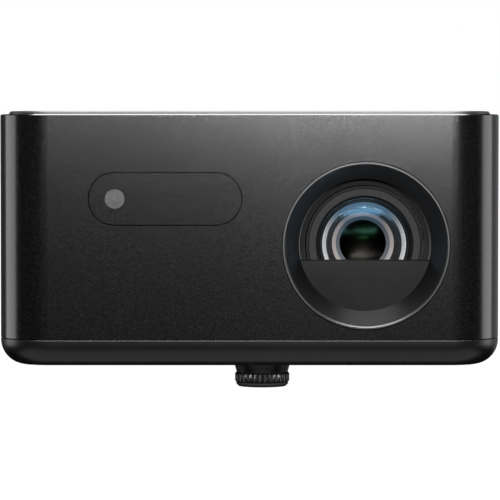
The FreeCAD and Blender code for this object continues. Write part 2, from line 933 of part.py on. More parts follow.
def make_rear_feet():
    feet = []
    for side in (-1, 1):
        foot = pill_z(rear_foot_length, rear_foot_width, side * rear_foot_x, rear_foot_y, 0, base_z)
        feet.append(foot.makeChamfer(rear_foot_edge, edges_at_height(foot, 0)))
    return Part.Compound(feet)


def make_tripod_socket():
    insert = post(tripod_insert_radius, tripod_x, tripod_y, base_z, base_z + tripod_length)
    return insert.cut(post(tripod_radius, tripod_x, tripod_y, base_z - 1, base_z + tripod_length + 1))


# ---------------------------------------------------------------- lens recess

def recess_clip():
    """Space in which the bezel's flange stays clear of the corner and of the base's lip."""
    x1 = right_x - corner_radius - cover_gap
    return box(left_x, x1, front_y - 1, front_y + depth, lip_z + cover_gap, top_z)


def make_lens_bezel():
    outer = recess_radius - bezel_gap
    tube = cone_end_radius + mask_step
    rear = baffle_front + baffle_thickness
    flange_y = wall + gasket_thickness
    land = outer - bezel_edge - bezel_land
    mouth = land - bezel_glint
    outline = [(outer, bezel_edge), (outer, flange_y), (bezel_flange_radius, flange_y),
               (bezel_flange_radius, flange_y + bezel_flange_thickness),
               (mouth - (mouth - cone_end_radius) * flange_y / cone_depth + bezel_shell,
                flange_y + bezel_flange_thickness),
               (tube + bezel_shell, cone_depth), (tube + bezel_shell, rear), (0, rear), (0, baffle_front),
               (tube, baffle_front), (tube, cone_depth), (cone_end_radius, cone_depth),
               (mouth, bezel_glint), (land, 0), (outer - bezel_edge, 0)]
    bezel = lens_turned(outline).common(recess_clip())
    return bezel.cut(lens_rod(barrel_radius + barrel_clearance, cone_depth + mask_thickness, rear + 1))


def make_bezel_gasket():
    inner = recess_radius + bezel_gap
    outer = bezel_flange_radius - bezel_gap
    ring = lens_tube(outer, inner, wall, wall + gasket_thickness)
    return ring.common(recess_clip())


def make_lens_mask():
    radius = cone_end_radius + mask_step - mask_gap
    plate = lens_turned([(0, cone_depth), (radius, cone_depth), (radius, cone_depth + mask_thickness),
                         (0, cone_depth + mask_thickness)])
    edge_z = lens_z - mask_drop
    plate = plate.common(box(lens_x - radius, lens_x + radius, front_y, front_y + depth, 0, edge_z))
    half = math.sqrt(radius * radius - mask_drop * mask_drop)
    cutter = box(lens_x - half - 1, lens_x + half + 1, -mask_chamfer, mask_chamfer, -mask_chamfer,
                 mask_chamfer)
    cutter.rotate(V(0, 0, 0), X_AXIS, 45)
    cutter.translate(V(0, front_y + cone_depth, edge_z))
    return plate.cut(cutter)


# ---------------------------------------------------------------- focusing group

def make_focus_barrel():
    head_end = barrel_front + barrel_head_length
    outline = [(mouth_radius, barrel_front), (barrel_radius, barrel_front), (barrel_radius, head_end),
               (stem_radius, head_end), (stem_radius, stem_end), (stem_bore, stem_end),
               (stem_bore, second_rear), (second_radius + seat_gap, second_rear),
               (second_radius + seat_gap, element_rear), (element_radius + seat_gap, element_rear),
               (element_radius + seat_gap, element_front), (retainer_bore, element_front),
               (retainer_bore, barrel_front + mouth_depth), (mouth_radius, barrel_front + mouth_depth)]
    barrel = lens_turned(outline)
    return barrel.cut(make_cam_pins())


def make_lens_retaining_ring():
    front = barrel_front + mouth_depth
    outer = retainer_bore - seat_gap
    return lens_turned([(retainer_mouth, front), (outer, front), (outer, element_front),
                        (element_clear, element_front)])


def make_front_element():
    return lens_element(element_radius, element_front, element_rear, element_clear, element_bulge,
                        element_hollow_clear, -element_hollow)


def make_cell_ring():
    return lens_tube(second_radius, cell_ring_bore, element_rear, second_front)


def make_second_element():
    return lens_element(second_radius, second_front, second_rear, second_clear, second_bulge,
                        second_clear, second_bulge)


def make_cam_pins():
    y = front_y + pin_place
    pin = rod(pin_radius, V(lens_x, y, lens_z + pin_root), V(lens_x, y, lens_z + pin_reach))
    return Part.Compound(around_lens(pin, pin_count))


# ---------------------------------------------------------------- fixed barrel and focus drive

def make_fixed_barrel():
    bore = stem_radius + seat_gap
    seat_rear = flange_front - rear_element_length
    seat_front = seat_rear - rear_seat
    groove = fixed_radius - clip_bite
    shoulder_front = ring_rear + ring_backing
    outline = [(bore, fixed_front), (fixed_radius, fixed_front), (fixed_radius, clip_front),
               (groove, clip_front), (groove, clip_front + clip_thickness),
               (fixed_radius, clip_front + clip_thickness), (fixed_radius, shoulder_front),
               (shoulder_radius, shoulder_front), (shoulder_radius, shoulder_front + shoulder_length),
               (fixed_radius, shoulder_front + shoulder_length), (fixed_radius, flange_front),
               (flange_radius, flange_front), (flange_radius, lens_back),
               (rear_element_radius + seat_gap, lens_back), (rear_element_radius + seat_gap, seat_rear),
               (rear_seat_bore, seat_rear), (rear_seat_bore, seat_front), (bore, seat_front)]
    barrel = lens_turned(outline)
    half = pin_radius + seat_gap
    reach = focus_travel + pin_radius + running_gap
    y = front_y + pin_place
    slot = box(lens_x - half, lens_x + half, y - reach, y + reach, lens_z + stem_radius - 1,
               lens_z + fixed_radius + 1)
    barrel = barrel.cut(Part.Compound(around_lens(slot, pin_count)))
    pilots = [screw_pilot(seat, Y_AXIS) for seat in flange_screw_places()]
    return barrel.cut(Part.Compound(pilots))


def make_rear_element():
    front = flange_front - rear_element_length
    clear = rear_element_radius - rear_surface_land
    return lens_element(rear_element_radius, front, flange_front, clear, rear_element_bulge, clear,
                        rear_element_bulge)


def make_ring_clip():
    clip = lens_tube(clip_radius, fixed_radius - clip_bite, clip_front, clip_front + clip_thickness)
    half = clip_gap_width / 2
    gap = box(lens_x - half, lens_x + half, front_y + clip_front - 1, front_y + ring_front + 1,
              lens_z - flange_radius, lens_z)
    return clip.cut(gap)


def gear_outline(teeth, middle_angle):
    """Points of a gear's outline, from involute flanks, as (x, z) about its own axis."""
    pitch_radius = gear_module * teeth / 2
    base_radius = pitch_radius * math.cos(math.radians(pressure_angle))
    tip_radius = pitch_radius + gear_addendum * gear_module
    root_radius = pitch_radius - gear_addendum * gear_module - gear_root_gap
    tooth_width = math.pi * gear_module / 2 - gear_backlash / 2

    def involute(radius):
        angle = math.acos(min(1.0, base_radius / radius))
        return math.tan(angle) - angle

    def half_angle(radius):
        return tooth_width / (2 * pitch_radius) + involute(pitch_radius) - involute(radius)

    radii = [root_radius, pitch_radius, (pitch_radius + tip_radius) / 2, tip_radius]
    points = []
    for i in range(teeth):
        middle = math.radians(middle_angle) + 2 * math.pi * i / teeth
        flank = [(radius, half_angle(radius)) for radius in radii]
        rising = [(radius, middle - half) for radius, half in flank]
        falling = [(radius, middle + half) for radius, half in reversed(flank)]
        points += [(r * math.cos(t), r * math.sin(t)) for r, t in rising + falling]
    return points


def gear(teeth, middle_angle, x, z, front, length):
    points = [V(x + px, front_y + front, z + pz) for px, pz in gear_outline(teeth, middle_angle)]
    return Part.Face(Part.makePolygon(points + [points[0]])).extrude(Y_AXIS * length)


def cam_slot():
    """One slanted slot in the focus ring: a row of radial drillings along the cam path."""
    drill = pin_radius + slot_clearance
    top = lens_z + ring_radius + 1
    steps = int(2 * (focus_angle + slot_end_margin) / slot_step) + 1
    drillings = []
    for i in range(steps + 1):
        turn = (2.0 * i / steps - 1) * (focus_angle + slot_end_margin)
        y = front_y + pin_place + focus_lead * math.radians(turn)
        hole = rod(drill, V(lens_x, y, lens_z + stem_radius), V(lens_x, y, top))
        drillings.append(about_lens(hole, turn))
    return fused(drillings)


def make_focus_ring():
    bore = fixed_radius + running_gap
    tube = lens_turned([(bore, ring_front), (ring_radius, ring_front), (ring_radius, ring_rear),
                        (bore, ring_rear)])
    wheel = gear(ring_teeth, pinion_angle, lens_x, lens_z, gear_front, gear_length)
    wheel = wheel.cut(lens_rod((bore + ring_radius) / 2, gear_front - 1, gear_front + gear_length + 1))
    ring = fused([tube, wheel])
    slot = cam_slot()
    for i in range(pin_count):
        ring = ring.cut(about_lens(slot, 360.0 * i / pin_count))
    return ring


def pinion_rod(radius, front, rear):
    return rod(radius, V(pinion_x, front_y + front, pinion_z), V(pinion_x, front_y + rear, pinion_z))


def make_focus_pinion():
    half_tooth = 180.0 / pinion_teeth
    front = gear_front - pinion_overhang
    length = gear_length + 2 * pinion_overhang
    pinion = gear(pinion_teeth, pinion_angle + 180 + half_tooth, pinion_x, pinion_z, front, length)
    return pinion.cut(pinion_rod(shaft_radius, front - 1, front + length + 1))


def make_motor_shaft():
    rear = gear_front + gear_length + 2 * pinion_overhang
    return pinion_rod(shaft_radius, motor_rear - shaft_in_motor, rear)


def make_focus_motor():
    can = pinion_rod(motor_radius, motor_rear - motor_length, motor_rear)
    boss = pinion_rod(motor_boss_radius, motor_rear, motor_rear + motor_boss_length)
    bore_front = motor_rear - shaft_in_motor - pinion_overhang
    bore = pinion_rod(shaft_radius + running_gap, bore_front, motor_rear + motor_boss_length + 1)
    return fused([can, boss]).cut(bore)


def make_motor_bracket():
    """Z-shaped sheet bracket from the motor's face back to the front of the light engine."""
    half = bracket_width / 2
    y0 = front_y + motor_rear
    y1 = front_y + lens_back
    tip = lens_z + bracket_outer
    face = box(lens_x - half, lens_x + half, y0, y0 + bracket_thickness, lens_z + gear_distance, tip)
    arm = box(lens_x - half, lens_x + half, y0, y1, tip - bracket_thickness, tip)
    foot = box(lens_x - half, lens_x + half, y1 - bracket_thickness, y1, lens_z + bracket_inner, tip)
    bracket = about_lens(fused([face, arm, foot]), pinion_angle - 90)
    pad = pinion_rod(half, motor_rear, motor_rear + bracket_thickness)
    bracket = fused([bracket, pad])
    bracket = bracket.cut(pinion_rod(motor_boss_radius + seat_gap, motor_rear - 1, motor_rear + 2))
    return bracket.cut(screw_pilot(bracket_screw_place(), Y_AXIS))


# ---------------------------------------------------------------- light engine

def make_engine_housing():
    x0, x1 = engine_x0, engine_x1
    y0, y1 = engine_y0, engine_y1
    z1 = engine_z1 - engine_cover_thickness
    shell = rounded_box(x0, x1, y0, y1, engine_z0, z1, engine_corner, 2)
    shell = shell.cut(box(x0 + engine_wall, x1 - engine_wall, y0 + engine_wall, y1 - engine_wall,
                          engine_floor, z1 + 1))
    pieces = [shell]
    for x, y, side in ear_places():
        inner = y - side * (ear_length / 2 + 1)
        ya, yb = sorted((inner, y + side * ear_length / 2))
        pieces.append(box(x - ear_width / 2, x + ear_width / 2, ya, yb, engine_z0, engine_z0 + ear_thickness))
    prism_y1 = y1 - engine_wall - prism_gap
    pieces.append(box(lens_x - prism_width / 2, lens_x + prism_width / 2, prism_y1 - prism_size, prism_y1,
                      engine_floor - 1, lens_z - prism_size / 2))
    housing = fused(pieces)
    housing = housing.cut(lens_rod(light_hole_radius, lens_back - 1, lens_back + engine_wall + 1))
    housing = housing.cut(Part.Compound([screw_pilot(seat, Y_AXIS) for seat in flange_screw_places()]))
    housing = housing.cut(screw_pilot(bracket_screw_place(), Y_AXIS))
    for x, y, side in ear_places():
        housing = housing.cut(screw_pilot(V(x, y, engine_z0 + ear_thickness), -Z_AXIS))
    for y in source_places:
        housing = housing.cut(rod(snout_radius, V(x0 - 1, y, lens_z), V(x0 + engine_wall + 1, y, lens_z)))
    return housing.cut(box(lens_x - chip_width / 2, lens_x + chip_width / 2, y1 - engine_wall - 0.1, y1 + 1,
                           lens_z - chip_height / 2, lens_z + chip_height / 2))


def make_engine_cover():
    z0 = engine_z1 - engine_cover_thickness
    plate = rounded_box(engine_x0, engine_x1, engine_y0, engine_y1, z0, engine_z1, engine_corner, 2)
    inset = engine_wall + fit_gap
    rim = box(engine_x0 + inset, engine_x1 - inset, engine_y0 + inset, engine_y1 - inset,
              z0 - engine_cover_rim, z0)
    inset += engine_wall
    hollow = box(engine_x0 + inset, engine_x1 - inset, engine_y0 + inset, engine_y1 - inset, z0 - 2, z0)
    return fused([plate, rim.cut(hollow)])


def make_prism():
    """Two glass wedges with a thin air gap on the slant between them."""
    y1 = engine_y1 - engine_wall - prism_gap
    y0 = y1 - prism_size
    z0 = lens_z - prism_size / 2
    z1 = lens_z + prism_size / 2
    x0 = lens_x - prism_width / 2
    gap = prism_air_gap
    wedges = []
    for corner in ([(y0, z0), (y1 - gap, z0), (y0, z1 - gap)], [(y1, z1), (y0 + gap, z1), (y1, z0 + gap)]):
        points = [V(x0, y, z) for y, z in corner]
        wedges.append(Part.Face(Part.makePolygon(points + [points[0]])).extrude(X_AXIS * prism_width))
    return Part.Compound(wedges)


def make_imaging_chip():
    return box(lens_x - chip_width / 2, lens_x + chip_width / 2, engine_y1 - engine_wall, engine_y1,
               lens_z - chip_height / 2, lens_z + chip_height / 2)


def make_chip_board():
    half_x = chip_board_width / 2
    half_z = chip_board_height / 2
    board = rounded_box(lens_x - half_x, lens_x + half_x, engine_y1, engine_y1 + board_thickness,
                        lens_z - half_z, lens_z + half_z, engine_corner, 1)
    plug_z1 = lens_z + half_z - chip_plug_inset
    plug = box(lens_x - half_x / 2, lens_x + half_x / 2, engine_y1 + board_thickness,
               engine_y1 + board_thickness + chip_plug_rise, plug_z1 - chip_plug_height, plug_z1)
    return fused([board, plug])


def make_light_sources():
    sources = []
    for y in source_places:
        can = rod(source_radius, V(spreader_x1, y, lens_z), V(engine_x0, y, lens_z))
        snout = rod(snout_radius, V(engine_x0, y, lens_z), V(engine_x0 + engine_wall, y, lens_z))
        sources.append(fused([can, snout]))
    return Part.Compound(sources)


def make_dichroic_mirrors():
    """Three slanted glass plates that fold the colours into one beam."""
    mirrors = []
    x = engine_x0 + engine_wall + mirror_offset
    for y in source_places:
        half = mirror_length / 2
        plate = box(-half, half, -mirror_thickness / 2, mirror_thickness / 2, engine_floor,
                    lens_z + mirror_rise)
        plate.rotate(V(0, 0, 0), Z_AXIS, 45)
        plate.translate(V(x, y, 0))
        mirrors.append(plate)
    return Part.Compound(mirrors)


def make_integrator_lens():
    x1 = lens_x - prism_width / 2 - prism_gap
    y = engine_y1 - engine_wall - prism_gap - prism_size / 2
    half = integrator_width / 2
    plate = box(x1 - integrator_thickness / 2, x1, y - half, y + half, engine_floor, lens_z + mirror_rise)
    lenses = []
    for row in (-lenslet_pitch, 0, lenslet_pitch):
        for column in (-lenslet_pitch, 0, lenslet_pitch):
            centre = V(x1 - integrator_thickness / 2, y + column, lens_z + row)
            lenses.append(Part.makeCone(lenslet_radius, lenslet_tip, integrator_thickness / 2, centre,
                                        -X_AXIS))
    return fused([plate] + lenses)


# ---------------------------------------------------------------- cooler

def heat_pipe(y):
    """Straight run down the spreader, one bend, and a run through the heatsink's base."""
    top = lens_z + spreader_above - pipe_end_margin
    bend_z = pipe_z + pipe_bend
    down = rod(pipe_radius, V(pipe_x, y, bend_z), V(pipe_x, y, top))
    along = rod(pipe_radius, V(sink_x0 + pipe_end_margin, y, pipe_z), V(pipe_x - pipe_bend, y, pipe_z))
    ring = Part.Face(Part.Wire(Part.makeCircle(pipe_radius, V(pipe_x, y, bend_z), Z_AXIS)))
    bend = ring.revolve(V(pipe_x - pipe_bend, y, bend_z), Y_AXIS, 90)
    return fused([down, bend, along])


def make_heat_pipes():
    return Part.Compound([heat_pipe(fan_y + place) for place in pipe_places])


def make_heat_spreader():
    plate = box(spreader_x0, spreader_x1, engine_y0, engine_y1, lens_z - spreader_below,
                lens_z + spreader_above)
    for place in pipe_places:
        y = fan_y + place
        top = lens_z + spreader_above - pipe_end_margin
        plate = plate.cut(post(pipe_radius, pipe_x, y, pipe_z, top))
    return plate


def make_heatsink():
    """Comb of fins along X, on a base bored for the heat pipes."""
    y0 = fan_y - sink_half
    y1 = fan_y + sink_half
    fin_z0 = sink_z0 + sink_base
    fin_z1 = fin_z0 + fin_height
    count = int((y1 - y0 - fin_thickness) / fin_pitch) + 1
    points = [V(sink_x0, y0, sink_z0)]
    for i in range(count):
        y = y0 + i * fin_pitch
        points += [V(sink_x0, y, fin_z0), V(sink_x0, y, fin_z1), V(sink_x0, y + fin_thickness, fin_z1),
                   V(sink_x0, y + fin_thickness, fin_z0)]
    del points[1]
    points += [V(sink_x0, y1, fin_z0), V(sink_x0, y1, sink_z0)]
    sink = Part.Face(Part.makePolygon(points + [points[0]])).extrude(X_AXIS * (sink_x1 - sink_x0))
    for place in pipe_places:
        y = fan_y + place
        bore = rod(pipe_radius, V(sink_x0 + pipe_end_margin, y, pipe_z), V(sink_x1 + 1, y, pipe_z))
        sink = sink.cut(bore)
    return sink


def fan_rod(radius, x0, x1):
    return rod(radius, V(x0, fan_y, fan_z), V(x1, fan_y, fan_z))


def make_fan_frame():
    half = fan_size / 2
    frame = rounded_box(fan_x0, fan_x1, fan_y - half, fan_y + half, fan_z - half, fan_z + half, fan_corner, 0)
    frame = frame.cut(fan_rod(fan_bore, fan_x0 - 1, fan_x1 + 1))
    back = fan_x1 - strut_thickness
    pieces = [frame, fan_rod(hub_radius, back, fan_x1)]
    pieces.append(fan_rod(spindle_radius, fan_x0 + spindle_start, fan_x1))
    for i in range(strut_count):
        strut = box(back, fan_x1, fan_y - strut_width / 2, fan_y + strut_width / 2, fan_z,
                    fan_z + fan_bore + strut_bite)
        strut.rotate(V(0, fan_y, fan_z), X_AXIS, 45 + 360.0 * i / strut_count)
        pieces.append(strut)
    return fused(pieces)


def make_fan_rotor():
    x0 = fan_x0 + rotor_gap
    x1 = fan_x1 - strut_thickness - rotor_gap
    middle = (x0 + x1) / 2
    pieces = [fan_rod(hub_radius, x0, x1)]
    for i in range(blade_count):
        blade = box(middle - blade_chord / 2, middle + blade_chord / 2, fan_y - blade_thickness / 2,
                    fan_y + blade_thickness / 2, fan_z + hub_radius - 1, fan_z + fan_bore)
        blade.rotate(V(middle, fan_y, fan_z), Z_AXIS, blade_pitch)
        blade.rotate(V(middle, fan_y, fan_z), X_AXIS, 360.0 * i / blade_count)
        pieces.append(blade)
    rotor = fused(pieces).common(fan_rod(rotor_radius, x0, x1))
    return rotor.cut(fan_rod(spindle_radius + running_gap, x0 + rotor_wall, x1 + 1))


# ---------------------------------------------------------------- electronics and controls

def make_main_board():
    board = rounded_box(board_x0, board_x1, board_y0, board_y1, board_z0, board_z1, engine_corner, 2)
    for x, y in board_screw_places():
        board = board.cut(post(board_hole_radius, x, y, board_z0 - 1, board_z1 + 1))
    return board


def chip(x, from_rear, length, breadth, height):
    y = board_y1 - from_rear
    return box(x - length / 2, x + length / 2, y - breadth / 2, y + breadth / 2, board_z1, board_z1 + height)


def make_board_chips():
    chips = [chip(*values) for values in main_chips]
    for i in range(small_chip_count):
        chips.append(chip(small_chip_x + i * small_chip_pitch, small_chip_place, *small_chip_size))
    for from_rear in capacitor_places:
        chips.append(post(capacitor_radius, capacitor_x, board_y1 - from_rear, board_z1,
                          board_z1 + capacitor_height))
    return Part.Compound(chips)


def make_power_switch():
    half = switch_size / 2
    body = box(button_x - half, button_x + half, button_y - half, button_y + half, board_z1,
               board_z1 + switch_height)
    stem = post(stem_width_radius, button_x, button_y, board_z1, plunger_z() - button_travel - stem_gap)
    return fused([body, stem])


def plunger_z():
    """Lowest point of the released power button."""
    return cover_z - button_flange_gap - button_flange_thickness - button_plunger


def make_power_button():
    flange_top = cover_z - button_flange_gap
    flange_bottom = flange_top - button_flange_thickness
    outline = [(0, plunger_z()), (stem_width_radius, plunger_z()), (stem_width_radius, flange_bottom),
               (button_flange_radius, flange_bottom), (button_flange_radius, flange_top),
               (button_radius, flange_top), (button_radius, top_z - rim_chamfer),
               (button_radius - rim_chamfer, top_z), (0, top_z)]
    return upright_turned(outline, button_x, button_y)


def make_status_light():
    return post(light_radius, button_x - light_from_button, button_y, board_z1, top_z)


def make_socket(name):
    """Metal-shelled socket with a hollow and a contact tongue."""
    x, breadth, height = sockets[name]
    z0 = board_z0 - height
    y0 = socket_y1 - socket_length
    shell = box(x - breadth / 2, x + breadth / 2, y0, socket_y1, z0, board_z0)
    inset = socket_shell
    hollow = box(x - breadth / 2 + inset, x + breadth / 2 - inset, socket_y1 - socket_hollow, socket_y1 + 1,
                 z0 + inset, board_z0 - inset)
    shell = shell.cut(hollow)
    middle = board_z0 - height / 2
    half = breadth / 2 - tongue_margin
    tongue = box(x - half, x + half, y0 + 1, socket_y1 - 1, middle - tongue_height / 2,
                 middle + tongue_height / 2)
    return fused([shell, tongue])


def make_round_socket(name, bore, pin):
    """Block with a round bore and, in the power inlet, a centre pin."""
    x, breadth, height = sockets[name]
    z = board_z0 - height / 2
    y0 = socket_y1 - socket_length
    block = box(x - breadth / 2, x + breadth / 2, y0, socket_y1, board_z0 - height, board_z0)
    block = block.cut(rod(bore, V(x, socket_y1 - socket_hollow, z), V(x, socket_y1 + 1, z)))
    if pin:
        block = fused([block, rod(pin, V(x, y0 + 1, z), V(x, socket_y1 - 1, z))])
    return block


def make_rear_panel():
    y1 = rear_y - panel_recess
    y_wall = rear_y - wall
    half_x = panel_width / 2
    half_z = panel_height / 2
    plate = rounded_box(-half_x, half_x, y_wall, y1, panel_z - half_z, panel_z + half_z, panel_corner, 1)
    half_x += panel_flange
    half_z += panel_flange
    flange = rounded_box(-half_x, half_x, y_wall - panel_flange_thickness, y_wall, panel_z - half_z,
                         panel_z + half_z, panel_corner + panel_flange, 1)
    panel = fused([plate, flange])
    for x, breadth, height in sockets.values():
        half = breadth / 2 + fit_gap
        panel = panel.cut(box(x - half, x + half, y_wall - 3, y1 + 1, board_z0 - height - fit_gap,
                              board_z0 + fit_gap))
    return panel


def speaker_turned(outline):
    """Turned about the speaker's axis; points are (x, radius)."""
    return turned([(radius, x) for x, radius in outline], X_AXIS, Z_AXIS, V(0, speaker_y, speaker_z))


def make_speaker_frame():
    x0, x1 = speaker_x0, speaker_x1
    plate_x = x0 + magnet_length
    neck = x1 - basket_neck
    outer = basket_bore + basket_shell
    outline = [(x1, basket_bore), (x1, outer), (neck - basket_bevel, outer), (plate_x, magnet_radius),
               (x0, magnet_radius), (x0, 0), (plate_x + pole_rise, 0), (plate_x + pole_rise, pole_radius),
               (plate_x - coil_gap_depth, pole_radius), (plate_x - coil_gap_depth, coil_gap_radius),
               (plate_x, coil_gap_radius), (plate_x, plate_radius), (neck, basket_bore)]
    basket = speaker_turned(outline)
    half = speaker_side / 2
    flange = rounded_box(x1 - speaker_flange, x1, speaker_y - half, speaker_y + half, speaker_z - half,
                         speaker_z + half, speaker_corner, 0)
    axis_start = V(x1 - speaker_flange - 1, speaker_y, speaker_z)
    flange = flange.cut(rod(basket_bore, axis_start, axis_start + X_AXIS * (speaker_flange + 2)))
    return fused([basket, flange])


def make_speaker_cone():
    edge = speaker_x1 - cone_set_back
    coil_end = speaker_x0 + magnet_length - coil_gap_depth + coil_lift
    throat = speaker_x0 + magnet_length + throat_rise
    cap_inside = cap_rise - cone_thickness
    shoulder_inside = cap_shoulder_rise - cone_thickness
    outline = [(edge, cone_radius), (edge - cone_thickness, cone_radius),
               (edge - cone_thickness, cone_rear_radius), (throat, coil_outer), (coil_end, coil_outer),
               (coil_end, coil_inner), (throat - throat_back, coil_inner),
               (throat + shoulder_inside, cap_shoulder_radius), (throat + cap_inside, 0),
               (throat + cap_rise, 0), (throat + cap_shoulder_rise, cap_shoulder_radius),
               (throat + cap_edge_rise, cap_edge_radius), (edge, cone_front_radius)]
    return speaker_turned(outline)


# ---------------------------------------------------------------- sensor window

def window_layer(grow, front, rear):
    return pill_y(window_length + 2 * grow, window_height + 2 * grow, window_x, window_z, front_y + front,
                  front_y + rear)


def window_rod(radius, x, front, rear):
    return rod(radius, V(x, front_y + front, window_z), V(x, front_y + rear, window_z))


def make_sensor_window():
    plate = window_layer(0, window_recess, wall)
    front = [edge for edge in plate.Edges if edge.BoundBox.YMax < front_y + window_recess + TINY]
    plate = plate.makeChamfer(window_chamfer, front)
    pieces = [plate, window_layer(window_flange, wall, window_back)]
    for offset in standoff_offsets:
        pieces.append(window_rod(standoff_radius, window_x + offset, window_back, sensor_back))
    window = fused(pieces)
    window = window.cut(window_rod(eye_radius + eye_gap, eye_x, 0, eye_recess + eye_thickness))
    return window.cut(window_rod(eye_hole_radius, eye_x, 0, window_back + 1))


def make_camera_cover():
    return window_rod(eye_radius, eye_x, eye_recess, eye_recess + eye_thickness)


def make_camera_module():
    half = camera_size / 2
    body_front = sensor_back - camera_body
    body = box(eye_x - half, eye_x + half, front_y + body_front, front_y + sensor_back, window_z - half,
               window_z + half)
    barrel_end = eye_recess + eye_thickness + fit_gap
    return fused([body, window_rod(camera_barrel_radius, eye_x, barrel_end, body_front)])


def make_distance_sensor():
    x = window_x + ranger_x_offset
    front = sensor_back - ranger_depth
    body = box(x - ranger_width / 2, x + ranger_width / 2, front_y + front, front_y + sensor_back,
               window_z - ranger_height / 2, window_z + ranger_height / 2)
    eyes = [window_rod(ranger_eye_radius, x + side * ranger_eye_offset, front - ranger_eye_rise, front)
            for side in (-1, 1)]
    return fused([body] + eyes)


def make_sensor_board():
    half_x = sensor_board_length / 2
    half_z = sensor_board_height / 2
    return rounded_box(window_x - half_x, window_x + half_x, front_y + sensor_back,
                       front_y + sensor_back + sensor_board_thickness, window_z - half_z, window_z + half_z,
                       engine_corner, 1)


# ---------------------------------------------------------------- all nodes

def build_nodes():
    return {
        "sleeve": make_sleeve(),
        "top_cover": make_top_cover(),
        "bottom_case": make_bottom_case(),
        "left_grille": make_grille(-1),
        "right_grille": make_grille(1),
        "rear_panel": make_rear_panel(),
        "case_screws": make_case_screws(),
        "inner_screws": make_inner_screws(),
        "sensor_window": make_sensor_window(),
        "camera_cover": make_camera_cover(),
        "camera_module": make_camera_module(),
        "distance_sensor": make_distance_sensor(),
        "sensor_board": make_sensor_board(),
        "lens_bezel": make_lens_bezel(),
        "bezel_gasket": make_bezel_gasket(),
        "lens_mask": make_lens_mask(),
        "focus_barrel": make_focus_barrel(),
        "lens_retaining_ring": make_lens_retaining_ring(),
        "front_element": make_front_element(),
        "cell_ring": make_cell_ring(),
        "second_element": make_second_element(),
        "cam_pins": make_cam_pins(),
        "fixed_barrel": make_fixed_barrel(),
        "rear_element": make_rear_element(),
        "ring_clip": make_ring_clip(),
        "focus_ring": make_focus_ring(),
        "focus_pinion": make_focus_pinion(),
        "motor_shaft": make_motor_shaft(),
        "focus_motor": make_focus_motor(),
        "motor_bracket": make_motor_bracket(),
        "engine_housing": make_engine_housing(),
        "engine_cover": make_engine_cover(),
        "prism": make_prism(),
        "imaging_chip": make_imaging_chip(),
        "chip_board": make_chip_board(),
        "light_sources": make_light_sources(),
        "dichroic_mirrors": make_dichroic_mirrors(),
        "integrator_lens": make_integrator_lens(),
        "heat_spreader": make_heat_spreader(),
        "heat_pipes": make_heat_pipes(),
        "heatsink": make_heatsink(),
        "fan_frame": make_fan_frame(),
        "fan_rotor": make_fan_rotor(),
        "main_board": make_main_board(),
        "board_chips": make_board_chips(),
        "power_switch": make_power_switch(),
        "power_button": make_power_button(),
        "status_light": make_status_light(),
        "hdmi_port": make_socket("hdmi_port"),
        "usb_port": make_socket("usb_port"),
        "usb_c_port": make_socket("usb_c_port"),
        "audio_jack": make_round_socket("audio_jack", audio_bore, 0),
        "dc_jack": make_round_socket("dc_jack", dc_bore, dc_pin),
        "speaker_frame": make_speaker_frame(),
        "speaker_cone": make_speaker_cone(),
        "foot_screw": make_foot_screw(),
        "foot_pad": make_foot_pad(),
        "foot_nut": make_foot_nut(),
        "rear_feet": make_rear_feet(),
        "tripod_socket": make_tripod_socket(),
    }


def main():
    os.makedirs("parts", exist_ok=True)
    for name, shape in build_nodes().items():
        shape.exportStep(os.path.join("parts", name + ".step"))


if __name__ == "__main__":
    main()
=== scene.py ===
import json
import math

import bmesh
import bpy
from bpy.props import FloatProperty, FloatVectorProperty, IntProperty, PointerProperty
from bpy.types import NodeSocket, Operator, Panel, PropertyGroup
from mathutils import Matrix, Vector


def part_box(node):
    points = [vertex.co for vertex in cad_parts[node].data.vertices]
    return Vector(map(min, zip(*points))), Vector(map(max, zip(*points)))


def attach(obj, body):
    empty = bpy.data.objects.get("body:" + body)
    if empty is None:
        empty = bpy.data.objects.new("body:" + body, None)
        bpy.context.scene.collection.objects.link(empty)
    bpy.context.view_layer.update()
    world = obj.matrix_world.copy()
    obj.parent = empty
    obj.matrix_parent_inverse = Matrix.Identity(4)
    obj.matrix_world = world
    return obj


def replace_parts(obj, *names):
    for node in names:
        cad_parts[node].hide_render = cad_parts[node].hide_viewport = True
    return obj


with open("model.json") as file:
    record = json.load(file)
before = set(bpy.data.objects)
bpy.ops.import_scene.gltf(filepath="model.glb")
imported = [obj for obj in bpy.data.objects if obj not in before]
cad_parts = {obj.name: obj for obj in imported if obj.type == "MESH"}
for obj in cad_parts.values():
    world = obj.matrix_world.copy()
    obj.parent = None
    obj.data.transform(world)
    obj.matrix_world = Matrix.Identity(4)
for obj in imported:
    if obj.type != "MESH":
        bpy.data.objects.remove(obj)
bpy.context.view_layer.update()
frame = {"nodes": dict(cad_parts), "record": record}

bl_info = {
    "name": "Home Projector",
    "version": (1, 0, 0),
    "blender": (4, 5, 0),
    "location": "3D View > Sidebar > Projector",
    "description": "Finishes, glass, foot screw and studio for a compact home projector",
    "category": "Object",
}


def middle(box, pair):
    """Middle of a box along two of its axes, named by their letters."""
    low, high = box
    return tuple((getattr(low, axis) + getattr(high, axis)) / 2 for axis in pair)


def half_width(box):
    """Radius of a round part, from its box."""
    return (box[1].x - box[0].x) / 2


MM = 0.001
NODES = frame["nodes"]
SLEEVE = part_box("sleeve")
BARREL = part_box("focus_barrel")
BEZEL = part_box("lens_bezel")
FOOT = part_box("foot_screw")
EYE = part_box("camera_cover")
LENS_AXIS = middle(BARREL, "xz")
LENS_FRONT = BARREL[0].y
FOOT_AXIS = middle(FOOT, "xy")
EYE_AXIS = middle(EYE, "xz")
CASE_MIDDLE = Vector((0.0, SLEEVE[0].y, (SLEEVE[0].z + SLEEVE[1].z) / 2))

LENS_SEGMENTS = 256
DOME_ROWS = 24
THREAD_ROWS = 96

